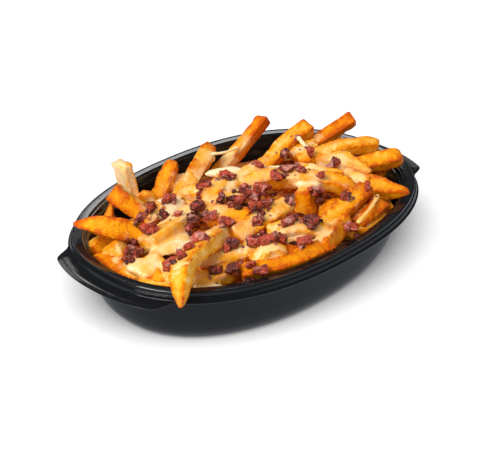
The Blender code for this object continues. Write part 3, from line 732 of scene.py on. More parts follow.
def fry_rings(path, width, thick, roll, first_end, last_end, rng, around=32, spacing=1.5):
    """The rings of one fry and, for each, the distances to its two ends."""
    length = sum((b - a).length for a, b in zip(path, path[1:]))
    if len(path) == 2:
        bow = Vector((rng.uniform(-1, 1), rng.uniform(-1, 1), rng.uniform(-0.3, 0.8))) * 0.8
        path = [path[0], path[0].lerp(path[1], 0.5) + bow, path[1]]
    line = smooth_path(path, max(8, int(length / spacing)))
    beside_first = line[0] + (line[1] - line[0]).normalized() * END_EDGE
    beside_last = line[-1] + (line[-2] - line[-1]).normalized() * END_EDGE
    line = [line[0], beside_first] + line[1:-1] + [beside_last, line[-1]]
    taper = rng.uniform(-0.08, 0.08)
    twist = rng.uniform(-14, 14)
    hollow = rng.uniform(0.02, 0.08)
    skew = (rng.uniform(-0.8, 0.8), rng.uniform(-0.8, 0.8))
    phase = random_vector(rng, 0, 90)
    walked = distances_along(line)
    level = (line[-1] - line[0]).normalized().cross(Vector((0.0, 0.0, 1.0)))
    if level.length < 0.2:
        level = Vector((1.0, 0.0, 0.0))
    rings = []
    distances = []
    for i, middle in enumerate(line):
        run = direction(line, i)
        level = (level - run * level.dot(run)).normalized()
        share = walked[i] / walked[-1]
        side = Matrix.Rotation(math.radians(roll + twist * (share - 0.5)), 3, run) @ level
        over = side.cross(run)
        to_first = walked[i]
        to_last = walked[-1] - walked[i]
        size = min(end_share(first_end, to_first), end_share(last_end, to_last))
        size *= 1.0 + taper * (2 * share - 1)
        slant = skew[0] * max(0.0, 1 - to_first / SLANT_REACH) - skew[1] * max(0.0, 1 - to_last / SLANT_REACH)
        ring = []
        for k in range(around):
            angle = ring_angle(k, around)
            c = math.cos(angle)
            s = math.sin(angle)
            reach = (abs(c) ** SQUARENESS + abs(s) ** SQUARENESS) ** (-1.0 / SQUARENESS)
            face = max(0.0, 1.0 - 2.2 * abs(c * s))
            corner = Vector((walked[i] * 0.22, 3.0 * math.copysign(1, c), 7.0 * math.copysign(1, s)))
            chip = max(0.0, noise.noise(corner + phase) - 0.08)
            reach *= 1.0 - hollow * face - 0.3 * chip * abs(2 * c * s) ** 6
            point = middle + side * (c * reach * width / 2 * size) + over * (s * reach * thick / 2 * size)
            lift = sum(noise.noise(point * scale + phase) * height for scale, height in FRY_BUMPS)
            ring.append(point + (side * c + over * s) * lift + run * (slant * c * reach))
        rings.append(ring)
        distances.append((to_first, to_last))
    return rings, distances


class FryPile:
    """Gathers fries into one mesh, with their looks as layers."""

    def __init__(self):
        self.points = []
        self.faces = []
        self.looks = {"dark": [], "edge": [], "glaze": []}

    def note(self, **values):
        """Stores the looks of the next point."""
        for label, value in values.items():
            self.looks[label].append(value)

    def add(self, rings, distances, dark, glaze, red, rng):
        """Adds one fry: each side in a tone of its own, with painted shade darker where it faces the view's
        right and lighter where it faces left, its edges and ends crisp, its last end red.
        """
        count = len(rings[0])
        middles = [sum(ring, Vector()) / count for ring in rings]
        append_shape(self.points, self.faces, lofted(rings, middles[0], middles[-1]))
        cut = {"dark": dark + rng.uniform(-0.3, 0.1), "edge": 0.1, "glaze": 0.0}
        sides = [rng.uniform(-0.2, 0.2) for _ in range(4)]
        self.note(**cut)
        for ring, middle, (to_first, to_last) in zip(rings, middles, distances):
            near_last = max(0.0, 1 - to_last / RED_REACH)
            near_end = max(0.0, 1 - min(to_first, to_last) / 2.0)
            for k, point in enumerate(ring):
                angle = ring_angle(k, count)
                across = abs(math.cos(angle)) > abs(math.sin(angle))
                sign = math.cos(angle) > 0 if across else math.sin(angle) > 0
                out = (point - middle).normalized()
                upward = min(1.0, max(0.0, 0.45 + 1.3 * out.z))
                # painted shade and light: faces turned to the view's right are darker, those turned left
                # lighter
                painted_side_shade = 0.22 * out.dot(RIGHT)
                self.note(dark=dark + sides[2 * across + sign] + painted_side_shade + 0.55 * red * near_last,
                          edge=min(1.0, abs(math.sin(2 * angle)) ** 5 + 0.7 * near_end),
                          glaze=glaze * (1.0 - 0.7 * near_last * red) * upward)
        self.note(**cut)

    def make(self, name):
        """The pile as one object, glazed where patches of cheese lie near."""
        made = mesh_object(name, self.points, self.faces)
        patches = patches_from(CHEESE)
        glazes = patches_from(GLAZES)
        for i, point in enumerate(self.points):
            share, cream = cheese_share(Vector(point), patches, 0.35)
            near = max(share * (0.35 + 0.5 * cream), glaze_share(Vector(point), glazes))
            self.looks["glaze"][i] = max(self.looks["glaze"][i], near)
        set_layers(made, self.looks)
        return made


class TopMap:
    """Height of what lies in the tray so far, on a grid over the plan."""

    STEP = 1.5
    WALLED = 99.0

    def __init__(self, depth):
        self.low = (-LIP_A, -LIP_B)
        self.size = (int(2 * LIP_A / self.STEP) + 1, int(2 * LIP_B / self.STEP) + 1)
        self.limit = np.full(self.size, -1.0)
        for i, j in np.ndindex(self.size):
            self.limit[i, j] = core_height(*self.place(i, j)) or -1.0
        self.bare = self.limit > 0
        self.top = np.where(self.bare, self.limit - depth, self.WALLED)

    def place(self, i, j):
        """The middle of this cell of the grid, on the plan."""
        return self.low[0] + i * self.STEP, self.low[1] + j * self.STEP

    def cells(self, x, y, reach):
        """The rows and columns of the grid within this reach of the place."""
        spans = []
        for value, low in zip((x, y), self.low):
            middle = (value - low) / self.STEP
            away = reach / self.STEP
            spans.append(slice(max(int(math.ceil(middle - away)), 0), max(int(middle + away) + 1, 0)))
        return tuple(spans)

    def keep_clear(self, rings, slack):
        """Lets nothing more be laid through this fry: only under it, or beside it."""
        for ring in rings:
            low = min(p.z for p in ring)
            middle = sum(ring, Vector()) / len(ring)
            reach = max((p - middle).length for p in ring)
            cells = self.cells(middle.x, middle.y, reach)
            self.limit[cells] = np.minimum(self.limit[cells], low + slack)

    def cover(self, place, reach, height):
        """Notes that a fry lies here up to this height."""
        cells = self.cells(place.x, place.y, reach)
        self.bare[cells] = False
        top = self.top[cells]
        self.top[cells] = np.where(top < self.WALLED, np.maximum(top, height), self.WALLED)


def resting_line(tops, samples):
    """Heights at the two ends of the lowest straight line that lies on or above all the tops."""
    best = None
    for first, second in itertools.combinations(range(len(samples)), 2):
        slope = (tops[second] - tops[first]) / (samples[second] - samples[first])
        line = [tops[first] + slope * (s - samples[first]) for s in samples]
        if abs(slope) <= STEEPEST and all(a >= b - 0.3 for a, b in zip(line, tops)):
            if best is None or line[0] + line[-1] < best[0] + best[-1]:
                best = line
    return best


def add_filling(ground, pile, rng, ends, thick, dark):
    """Adds one fry of the filling, pressed inside the wall, and marks where it lies."""
    rings, distances = fry_rings(
        ends, thick, thick * rng.uniform(0.85, 1.0), rng.uniform(-20, 20),
        rng.choice(("cut", "cut", "round", "point")), rng.choice(("cut", "cut", "point")),
        rng, around=12, spacing=4.5)
    for point in itertools.chain(*rings):
        share = max(1.0, plan_share(point.x, point.y, wall_inset(point.z) + WALL_GAP))
        point.x /= share
        point.y /= share
    pile.add(rings, distances, dark, rng.choice((0.0, 0.0, 0.3, 0.6)), rng.uniform(0, 0.5), rng)
    for k in range(PLACES):
        place = ends[0].lerp(ends[1], k / (PLACES - 1))
        ground.cover(place, thick * 0.5, place.z + thick * 0.4)


def lay_long(ground, pile, rng):
    """Tries to lay one long fry at random, at rest on those under it and below the top."""
    x = rng.uniform(-LIP_A, LIP_A)
    y = rng.uniform(-LIP_B, LIP_B)
    turn = rng.uniform(0, math.pi)
    length = rng.uniform(24, 62)
    thick = rng.uniform(6.6, 8.6)
    samples = [length * (k / (PLACES - 1) - 0.5) for k in range(PLACES)]
    places = [(x + math.cos(turn) * s, y + math.sin(turn) * s) for s in samples]
    tops = []
    limits = []
    for place in places:
        cells = ground.cells(*place, thick * 0.45)
        under = ground.top[cells]
        if under.size == 0 or under.max() == ground.WALLED:
            return
        tops.append(float(under.max()))
        limits.append(float(ground.limit[cells].mean()))
    line = resting_line(tops, samples)
    if line and all(h + thick <= limit + 2.5 for h, limit in zip(line, limits)):
        ends = [Vector((*places[k], line[k] + thick / 2)) for k in (0, -1)]
        add_filling(ground, pile, rng, ends, thick, rng.uniform(0.5, 1.0))


def lay_short(ground, pile, rng, spot, drop):
    """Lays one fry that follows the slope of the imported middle, as long as fits here; says whether it did."""
    turn = rng.uniform(0, math.pi)
    thick = rng.uniform(6.4, 8.4)
    for length in [rng.uniform(*lengths) for lengths in SHORT_LENGTHS]:
        reach = Vector((math.cos(turn), math.sin(turn))) * (length / 2)
        places = [spot + reach * (2 * k / (PLACES - 1) - 1) for k in range(PLACES)]
        tops = [core_height(*place) for place in places]
        if None in tops:
            continue
        low = tops[0] - drop - thick / 2
        high = tops[-1] - drop - thick / 2
        fits = True
        for k, place in enumerate(places):
            upper = low + (high - low) * k / (PLACES - 1) + thick / 2
            limit = float(ground.limit[ground.cells(*place, thick * 0.45)].mean())
            if upper > limit + 1.0 or tops[k] - upper > drop + 3.0:
                fits = False
        if fits:
            ends = [Vector((*places[0], low)), Vector((*places[-1], high))]
            add_filling(ground, pile, rng, ends, thick, rng.uniform(0.3, 0.8) + 0.08 * drop)
            return True
    return False


def lay_filling(pile, rng, wanted, shown):
    """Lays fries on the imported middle, below its top and the fries that show: long ones at random, then
    shorter ones wherever it is still bare, deep ones first, and some more on top of those."""
    ground = TopMap(depth=7.0)
    for rings in shown:
        ground.keep_clear(rings, 2.5)
    for _ in range(wanted * 60):
        lay_long(ground, pile, rng)
    inside = np.argwhere(ground.bare)
    for drop, tries in SHORT_LAYERS:
        for _ in range(tries):
            places = np.argwhere(ground.bare) if drop == SHORT_LAYERS[0][0] else inside
            if len(places) == 0:
                break
            i, j = places[rng.randrange(len(places))]
            if not lay_short(ground, pile, rng, Vector(ground.place(i, j)), drop) and rng.random() < 0.4:
                ground.bare[i, j] = False


def build_core():
    """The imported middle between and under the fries, uneven as crumbs and melted cheese leave it."""
    turns = circle(120)
    rings = [[tray_point(turn, BASE_INSET + 5.0, WALL + 0.6) for turn in turns]]
    for row in range(20):
        ring = []
        for turn in turns:
            x, y, _ = (c * (1.0 - row / 20) for c in tray_point(turn, 13.0, 0.0))
            spot = Vector((x, y, 0.0))
            relief = noise.noise(spot * 0.2) * 1.6 + noise.noise(spot * 0.55) * 0.9
            ring.append((x, y, (core_height(x, y) or CORE_FAR) - CORE_SUNK + relief))
        rings.append(ring)
    return lofted(rings, (0.0, 0.0, WALL + 0.6), (0.0, 0.0, CORE_TOP - CORE_SUNK))


# Cheese

def lump_points(middle, length, width, thick, turn, rng):
    """Points and faces of one low lump of cheese with a lobed edge."""
    along = Matrix.Rotation(math.radians(turn), 3, "Z") @ RIGHT
    upward = Vector((0.0, 0.0, thick))
    side = upward.cross(along).normalized()
    phase = Vector((rng.uniform(0, 90), rng.uniform(0, 90), 0.0))
    lobes = []
    for angle in circle(16, 0):
        way = Vector((math.cos(angle), math.sin(angle), 0.0))
        edge = 0.9 + 0.6 * noise.noise(phase + way * 1.6)
        lobes.append((along * (math.cos(angle) * length / 2) + side * (math.sin(angle) * width / 2), edge))
    rings = [[middle + out * (share * edge) + upward * height for out, edge in lobes]
             for share, height in LUMP_FORM]
    return lofted(rings, middle - upward / 2, middle + upward / 2)


def string_tube(line, radius, rng):
    """A drawn-out string of cheese: thin in the middle, thicker where it starts, uneven."""
    rings = []
    phase = rng.uniform(0, 50)
    for i, middle in enumerate(line):
        run = direction(line, i)
        side = run.cross(Vector((0.0, 0.0, 1.0))).normalized()
        over = side.cross(run)
        share = i / (len(line) - 1)
        uneven = 0.25 * noise.noise(Vector((phase, share * 6, 0.0)))
        reach = radius * (0.75 + 0.5 * (2 * share - 1) ** 2 + uneven)
        reach *= min(1.0, 0.5 + 6 * min(share, 1 - share))
        rings.append([middle + side * (math.cos(angle) * reach) + over * (math.sin(angle) * reach * 0.8)
                      for angle in circle(10, 0)])
    return lofted(rings, line[0], line[-1])


def patches_from(rows):
    """Middle, long way, short way, sizes and creaminess of each patch of cheese."""
    patches = []
    for reading, length, width, turn, cream in rows:
        along = Matrix.Rotation(math.radians(turn), 3, "Z") @ RIGHT
        patches.append((seen(*reading), along, Vector((0.0, 0.0, 1.0)).cross(along), length, width, cream))
    return patches


def cheese_share(point, patches, spread=0.0):
    """How surely this point lies in a patch of cheese, from 0 to 1, and how creamy the cheese is there."""
    best = 0.0
    creamy = 0.5
    for middle, along, side, length, width, cream in patches:
        away = point - middle
        u = away.dot(along) / (length / 2 + 3.0)
        v = away.dot(side) / (width / 2 + 3.0)
        w = away.z / 10.0
        reach = math.sqrt(u * u + v * v + w * w * 0.5)
        if 1.35 + spread - reach > best:
            best = 1.35 + spread - reach
            creamy = cream
    if best <= 0.0:
        return 0.0, creamy
    ragged = noise.noise(point * 0.16) * 0.35 + noise.noise(point * 0.45) * 0.18
    steep = 2.2 if spread == 0.0 else 1.1
    return min(1.0, max(0.0, (best + ragged - 0.25) * steep)), creamy


def glaze_share(point, patches):
    """How thickly the thin cheese of single fries covers this point, from 0 to 1."""
    best = 0.0
    for middle, along, side, length, width, thick in patches:
        away = point - middle
        u = away.dot(along) / (length / 2)
        v = away.dot(side) / (width / 2 + 1.0)
        w = away.z / 6.0
        best = max(best, thick * min(1.0, 1.5 * (1.3 - math.sqrt(u * u + v * v + w * w))))
    if best <= 0.0:
        return 0.0
    return max(0.0, best + 0.5 * noise.noise(point * 0.4))


def melted_skin(points, faces, voxel):
    """The mesh of a skin over these shapes, smoothed so that it fills their creases."""
    skin = mesh_object("cheese_skin", points, faces)
    remesh = skin.modifiers.new("skin", "REMESH")
    remesh.mode = "VOXEL"
    remesh.voxel_size = voxel * MM
    relax = skin.modifiers.new("melt", "SMOOTH")
    relax.iterations = 9
    relax.factor = 0.6
    mesh = evaluated_mesh(skin)
    bpy.data.objects.remove(skin)
    return mesh


def cheese_on(skin):
    """How surely cheese lies at each point of the skin that can be seen, and how creamy it is there."""
    tree = BVHTree.FromBMesh(skin)
    patches = patches_from(CHEESE)
    glazes = patches_from(GLAZES)
    towards = [Vector((0, 0, 1)), BACK, (Vector((0.5, 0.5, 1))).normalized()]
    bare = smooth_path([seen(*reading) for reading in FRIES[BARE_FRY][0]], 40)
    shares = {}
    creams = {}
    for vert in skin.verts:
        point = vert.co / MM
        share, cream = cheese_share(point, patches)
        clear = min((point - place).length for place in bare)
        share *= min(1.0, max(0.0, (clear - 6.5) / 2.5))
        if share > 0.0:
            start = vert.co + vert.normal * 0.0006
            if all(tree.ray_cast(start, way)[0] is not None for way in towards):
                share = 0.0
        shares[vert] = share
        creams[vert] = max(cream, 1.1 * glaze_share(point, glazes)) if share > 0.0 else cream
    return shares, creams


def build_cheese(rng, voxel):
    """A skin over the fries and lumps, kept where the cheese lies and sunk at its edges, and the strings."""
    points = []
    faces = []
    for name in ("fries_on_top", "fries_below"):
        append_shape(points, faces, shape_of(bpy.data.objects[name].data, MM))
    under = BVHTree.FromPolygons(points, faces)
    for reading, length, width, thick, turn in LUMPS:
        middle = seen(*reading) - Vector((0.0, 0.0, 1.2))
        append_shape(points, faces, lump_points(middle, length, width, thick * 0.6, turn, rng))
    mesh = melted_skin(points, faces, voxel)
    kept = bmesh.new()
    kept.from_mesh(mesh)
    bpy.data.meshes.remove(mesh)
    kept.normal_update()
    shares, creams = cheese_on(kept)
    far = [vert for vert in kept.verts if shares[vert] <= 0.0
           and all(shares[edge.other_vert(vert)] <= 0.0 for edge in vert.link_edges)]
    bmesh.ops.delete(kept, geom=far, context="VERTS")
    kept.normal_update()
    for vert in kept.verts:
        vert.co += vert.normal * ((-1.7 + 2.2 * shares[vert] ** 0.6) * MM)
    for _ in range(2):
        bmesh.ops.smooth_vert(kept, verts=kept.verts, factor=0.4,
                              use_axis_x=True, use_axis_y=True, use_axis_z=True)
    points = []
    looks = {"thick": [], "cream": []}
    for i, vert in enumerate(kept.verts):
        vert.index = i
        points.append(vert.co / MM)
        hit, normal, _, distance = under.find_nearest(points[-1])
        sign = 1.0 if (points[-1] - hit).dot(normal) > 0 else -1.0
        looks["thick"].append(min(1.0, max(0.0, sign * distance) / 2.2))
        looks["cream"].append(creams[vert])
    faces = [tuple(vert.index for vert in face.verts) for face in kept.faces]
    kept.free()
    for first, middle, last, thick, cream in STRINGS:
        tube = string_tube(smooth_path([seen(*first), seen(*middle), seen(*last)], 16), thick / 2, rng)
        append_shape(points, faces, tube)
        looks["thick"].extend([0.8] * len(tube[0]))
        looks["cream"].extend([cream] * len(tube[0]))
    made = mesh_object("melted_cheese", points, faces)
    set_layers(made, looks)
    return made


# Bacon

def cube_grid(steps):
    """Points and faces of a cube from -1 to 1 with this many steps along each edge."""
    index = {}
    faces = []
    for axis in range(3):
        u, v = (axis + 1) % 3, (axis + 2) % 3
        for side, i, j in itertools.product((0, steps), range(steps), range(steps)):
            cells = []
            for di, dj in ((0, 0), (1, 0), (1, 1), (0, 1)):
                cell = [side] * 3
                cell[u] = i + di
                cell[v] = j + dj
                cells.append(index.setdefault(tuple(cell), len(index)))
            faces.append(tuple(cells if side else reversed(cells)))
    return [Vector([2.0 * c / steps - 1.0 for c in cell]) for cell in index], faces


def chunk(middle, axes, rng, steps):
    """A rough dice of fried bacon on its three half axes: points, faces, and its looks at each point."""
    spots, faces = cube_grid(steps)
    cuts = []
    for _ in range(5):
        way = Vector((rng.gauss(0, 1), rng.gauss(0, 1), rng.gauss(0, 1))).normalized()
        cuts.append((way, rng.uniform(0.6, 0.92), rng.uniform(-0.5, 0.4), rng.random() < 0.15))
    phase = random_vector(rng, 0, 90)
    grain = random_vector(rng, -1, 1).normalized()
    fatty_from = rng.uniform(0.25, 1.1)
    layers = rng.uniform(2.5, 5.0)
    ways = [axis.normalized() for axis in axes]
    points = []
    looks = {"fat": [], "edge": [], "dark": []}
    for spot in spots:
        p = spot / (abs(spot.x) ** 8 + abs(spot.y) ** 8 + abs(spot.z) ** 8) ** 0.125
        edge = max(0.0, sorted(abs(c) for c in spot)[1] - 0.6) / 0.4
        tone = 0.0
        fat = 0.0
        for way, depth, shade, fatty in cuts:
            over = p.dot(way) - depth
            if over > 0.0:
                p = p - way * over
                edge = max(0.0, 1.0 - over / 0.12)
                tone = shade
                fat = 0.5 if fatty else 0.0
        place = middle + axes[0] * p.x + axes[1] * p.y + axes[2] * p.z
        way = (ways[0] * p.x + ways[1] * p.y + ways[2] * p.z).normalized()
        lift = noise.noise(place * 0.35 + phase) * 1.0 + 0.15 - abs(noise.noise(place * 0.8 + phase)) * 0.7
        lift += 0.15 - abs(noise.noise(place * 1.7 + phase)) * 0.7
        points.append(place + way * lift)
        streak = math.sin(p.dot(grain) * layers + fatty_from * 6.0 + noise.noise(place * 0.4 + phase) * 3.0)
        looks["fat"].append(min(1.0, max(fat, streak * 0.9 - fatty_from)))
        looks["edge"].append(edge)
        looks["dark"].append(tone)
    return points, faces, looks


def food_surface():
    """The fries and the cheese as one body that rays can hit."""
    points = []
    faces = []
    for name in ("fries_on_top", "fries_below", "fries_packed", "melted_cheese"):
        append_shape(points, faces, shape_of(bpy.data.objects[name].data))
    return BVHTree.FromPolygons(points, faces)


def fall(food, places):
    """How far these points can drop before the first of them is just inside the food."""
    gap = FAR_DROP
    for place in places:
        near, normal, _, _ = food.find_nearest(place * MM)
        if (place * MM - near).dot(normal) < 0.0:
            return 0.0
        hit = food.ray_cast(place * MM, Vector((0.0, 0.0, -1.0)))[0]
        if hit is not None:
            gap = min(gap, place.z - hit.z / MM)
    return gap + 0.4 if gap < FAR_DROP else 0.0


def tumbled(rng):
    """A random turn about the vertical, and a small random lean."""
    return Matrix.Rotation(rng.uniform(0, math.pi), 3, "Z") @ Matrix.Rotation(rng.uniform(-0.6, 0.6), 3, "X")


def build_bacon(rng):
    """All the bits as one mesh: a rough slab for each node, small pieces beside it, and the crumbs."""
    points = []
    faces = []
    looks = {"dark": [], "fat": [], "edge": []}
    food = food_surface()

    def add_chunk(spot, axes, steps, crowd):
        places, sides, layers = chunk(spot, axes, rng, steps)
        drop = Vector((0.0, 0.0, fall(food, places[::4])))
        append_shape(points, faces, ([place - drop for place in places], sides))
        # painted shade: crowded bits are darker, the crumbs (crowd 2) darkest
        base = rng.uniform(-0.1, 0.75) + 0.2 * crowd
        layers["dark"] = [base + shade for shade in layers["dark"]]
        for label, values in layers.items():
            looks[label].extend(values)

    middles = [sum(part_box(name), Vector()) / 2 / MM for name in BACON_NODES]
    for name, place in zip(BACON_NODES, middles):
        spots = np.array([tuple(v.co / MM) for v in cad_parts[name].data.vertices])
        middle = (spots.min(0) + spots.max(0)) / 2
        crowd = min(1.0, sum((other - place).length < CROWD_REACH for other in middles) / 6.0)
        _, _, ways = np.linalg.svd(spots - spots.mean(0), full_matrices=False)
        half = [float(np.ptp((spots - middle) @ way)) / 2 for way in ways]
        middle = Vector(middle)
        long, wide, thick = (Vector(way) * size for way, size in zip(ways, half))
        for _ in range(2 if crowd > 0.8 else 1 if half[0] > LARGE_BIT else 0):
            turn = rng.uniform(0, 2 * math.pi)
            spot = middle + long * (0.85 * math.cos(turn)) + wide * (0.85 * math.sin(turn))
            spot -= Vector((0.0, 0.0, half[2] * rng.uniform(0.1, 0.5)))
            add_chunk(spot, [way * rng.uniform(0.7, 1.5) for way in tumbled(rng).col], 6, crowd)
        turn = Matrix.Rotation(rng.uniform(-0.25, 0.25), 3, long.normalized())
        add_chunk(middle, [turn @ way * rng.uniform(0.74, 0.90) for way in (long, wide, thick)], 12, crowd)
        if half[0] > LARGE_BIT:
            spot = middle + long * rng.choice((-0.5, 0.5)) + wide * rng.uniform(-0.3, 0.3)
            spot += Vector((0.0, 0.0, half[2] * 0.35))
            turn = Matrix.Rotation(rng.uniform(-0.7, 0.7), 3, thick.normalized())
            add_chunk(spot, [turn @ long * 0.5, turn @ wide * 0.65, turn @ thick * 0.75], 9, crowd)
    for across, down, reach in CRUMBS:
        hit = food.ray_cast(EYE * MM, (seen(across, down, 30.0) - EYE).normalized())[0] / MM
        turn = tumbled(rng).col
        reach *= 0.8
        axes = [turn[0] * reach * rng.uniform(0.9, 1.3), turn[1] * reach * 0.9, turn[2] * reach * 0.8]
        add_chunk(hit + Vector((0.0, 0.0, 0.2 * reach)), axes, 6, 2.0)
    made = mesh_object("bacon_bits", points, faces)
    set_layers(made, looks)
    return made


# Crumbs

def crumb_tree(material):
    """Puts a small uneven crumb on each point and turns them all into plain mesh."""
    group = bpy.data.node_groups.new("crumbs on points", "GeometryNodeTree")
    for way in ("INPUT", "OUTPUT"):
        group.interface.new_socket("Geometry", in_out=way, socket_type="NodeSocketGeometry")
    for label, kind, value in (("Smallest", "Float", 0.0005), ("Largest", "Float", 0.0012),
                               ("Unevenness", "Float", 0.001), ("Seed", "Int", 4)):
        socket = group.interface.new_socket(label, in_out="INPUT", socket_type="NodeSocket" + kind)
        socket.default_value = value
    given = group.nodes.new("NodeGroupInput").outputs
    vectors = {"data_type": "FLOAT_VECTOR"}
    crumb = node(group, "GeometryNodeMeshIcoSphere", Radius=1.0, Subdivisions=3)
    turn = node(group, "FunctionNodeRandomValue", vectors, i1=(6.28, 6.28, 6.28), Seed=given["Seed"])
    size = node(group, "FunctionNodeRandomValue", vectors, i0=given["Smallest"], i1=given["Largest"],
                Seed=given["Seed"])
    made = node(group, "GeometryNodeInstanceOnPoints", Points=given["Geometry"],
                Instance=crumb.outputs["Mesh"], Rotation=turn.outputs[0], Scale=size.outputs[0])
    made = node(group, "GeometryNodeRealizeInstances", Geometry=made.outputs["Instances"])
    wobble = node(group, "ShaderNodeTexNoise", Scale=900.0, Detail=2.0).outputs["Color"]
    push = node(group, "ShaderNodeVectorMath", {"operation": "SUBTRACT"}, i0=wobble, i1=(0.5, 0.5, 0.5))
    push = node(group, "ShaderNodeVectorMath", {"operation": "SCALE"}, i0=push.outputs[0],
                Scale=given["Unevenness"])
    made = node(group, "GeometryNodeSetPosition", Geometry=made.outputs["Geometry"], Offset=push.outputs[0])
    made = node(group, "GeometryNodeSetMaterial", Geometry=made.outputs["Geometry"], Material=material)
    node(group, "NodeGroupOutput", Geometry=made.outputs["Geometry"])
    return group


def build_crumbs(rng, material, sizes):
    """Small crumbs that fell from the bits, at rest on the food round them."""
    food = food_surface()
    spots = []
    dark = []
    for name in BACON_NODES:
        low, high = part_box(name)
        for _ in range(sizes.crumbs):
            turn = rng.uniform(0, 2 * math.pi)
            away = rng.uniform(2.0, 5.0) * MM
            x = (low.x + high.x) / 2 + math.cos(turn) * away
            y = (low.y + high.y) / 2 + math.sin(turn) * away
            start = Vector((x, y, high.z + 0.02))
            hit, normal, _, _ = food.ray_cast(start, Vector((0, 0, -1)))
            if hit is None or normal.z < 0.35 or abs(hit.z - low.z) > 0.009:
                continue
            if plan_share(hit.x / MM, hit.y / MM, 10.0) <= 1.0:
                spots.append(hit / MM)
                dark.append(rng.uniform(0.2, 1.0))
    seeds = mesh_object("crumb points", spots, [])
    set_layers(seeds, {"dark": dark})
    scatter = seeds.modifiers.new("crumbs", "NODES")
    scatter.node_group = crumb_tree(material)
    sockets = {item.name: item.identifier for item in scatter.node_group.interface.items_tree
               if item.in_out == "INPUT"}
    scatter[sockets["Smallest"]] = sizes.smallest
    scatter[sockets["Largest"]] = sizes.largest
    mesh = evaluated_mesh(seeds)
    bpy.data.objects.remove(seeds)
    return add_object("bacon_crumbs", mesh)


# Stage

def build_floor():
    """A white floor that darkens only where the tray shades it, and that the tray mirrors as a soft grey."""
    half = 6.0
    outline = [(-half, -half, 0), (half, -half, 0), (half, half, 0), (-half, half, 0)]
    mesh = bpy.data.meshes.new("floor")
    mesh.from_pydata(outline, [], [(0, 1, 2, 3)])
    floor = add_object("floor", mesh)
    white, tree, shader = new_material("white floor")
    paths = node(tree, "ShaderNodeLightPath").outputs
    lean = node(tree, "ShaderNodeCombineXYZ", X=-0.6, Y=-0.48, Z=0.62).outputs[0]
    corners = node(tree, "ShaderNodeAmbientOcclusion", {"samples": 16}, Distance=0.06, Normal=lean).outputs
    glow = mix_colour(tree, paths["Is Glossy Ray"], (0.85, 0.85, 0.85), (0.32, 0.34, 0.385))
    glow = mix_colour(tree, 1.0, glow, corners["Color"], "MULTIPLY")
    shade = math_node(tree, "MULTIPLY_ADD", corners["AO"], 2.8, -1.28, clamp=True)
    glow = mix_colour(tree, paths["Is Camera Ray"], glow, shade)
    plug(shader, Base_Color=(0.08, 0.08, 0.08, 1), Emission_Color=glow, Emission_Strength=1.0, Roughness=0.9,
         Specular_IOR_Level=0.1)
    floor.data.materials.append(white)


def build_world(scene):
    """Soft white light from all round, dimmer where the tray mirrors it."""
    scene.view_settings.view_transform = "Standard"
    world = bpy.data.worlds.new("studio")
    world.use_nodes = True
    sky = world.node_tree
    paths = node(sky, "ShaderNodeLightPath").outputs
    glow = math_node(sky, "MULTIPLY_ADD", paths["Is Glossy Ray"], -0.58, 0.63)
    glow = math_node(sky, "MULTIPLY_ADD", paths["Is Camera Ray"], 0.5, glow)
    plug(sky.nodes["Background"], Strength=glow, Color=(1, 1, 1, 1))
    scene.world = world


def build_lights():
    """Area lights that all face the tray."""
    for name, place, width, height, power in LIGHTS:
        light = bpy.data.lights.new(name, "AREA")
        light.shape = "RECTANGLE"
        light.size = width
        light.size_y = height
        light.energy = power
        lamp = add_object(name, light)
        lamp.location = place
        lamp.rotation_euler = (Vector((0, 0, 0.02)) - Vector(place)).to_track_quat("-Z", "Y").to_euler()


def build_camera(scene):
    """The camera at the photograph's view."""
    lens = bpy.data.cameras.new("camera")
    lens.sensor_width = 36.0
    lens.angle = VIEW_ANGLE
    lens.shift_x = (VIEW_WIDTH / 2 - VIEW_CENTRE[0]) / VIEW_WIDTH
    lens.shift_y = (VIEW_CENTRE[1] - VIEW_HEIGHT / 2) / VIEW_WIDTH
    lens.clip_start = 0.01
    camera = add_object("camera", lens)
    turn = Matrix((RIGHT, UP, BACK)).transposed().to_4x4()
    camera.matrix_world = Matrix.Translation(EYE * MM) @ turn
    scene.camera = camera


# Operators

def colour_property(name, description, default):
    return FloatVectorProperty(name=name, description=description, subtype="COLOR", default=default)


class TraySizes(bpy.types.PropertyGroup):
    around: IntProperty(name="Sides", description="Number of sides round the tray", default=224, min=48)
    black: colour_property("Plastic", "Colour of the plastic", (0.005, 0.0055, 0.0065))
    gloss: FloatProperty(name="Roughness", description="Roughness of the plastic", default=0.08, min=0.0,
                         max=1.0)


class FryLook(bpy.types.PropertyGroup):
    filling: IntProperty(name="Fries below", default=90,
                         description="How hard long fries are tried below those that show")
    pale: colour_property("Pale", "Least fried colour", (0.96, 0.66, 0.33))
    yellow: colour_property("Yellow", "Lightly fried colour", (0.93, 0.46, 0.055))
    golden: colour_property("Golden", "Middle colour", (0.86, 0.32, 0.003))
    dark: colour_property("Dark", "Well fried colour", (0.72, 0.19, 0.001))
    crisp: colour_property("Crisp", "Most fried colour, at edges and tips", (0.56, 0.08, 0.001))
    speck: colour_property("Specks", "Seasoning specks", (0.46, 0.10, 0.006))
    glaze: colour_property("Glaze", "Thin cheese over a fry", (0.96, 0.65, 0.28))
    # painted shade: the colour that the packed middle between and under the fries takes
    deep: colour_property("Deep", "Painted shade deep between the fries", (0.20, 0.05, 0.006))


class CheeseLook(bpy.types.PropertyGroup):
    voxel: FloatProperty(name="Detail", description="Grid size of the melted skin in millimetres",
                         default=0.75)
    thin: colour_property("Thin", "Colour where thin", (0.94, 0.47, 0.085))
    thick: colour_property("Thick", "Colour where thick", (0.97, 0.74, 0.43))
    speck: colour_property("Specks", "Seasoning specks", (0.75, 0.35, 0.10))


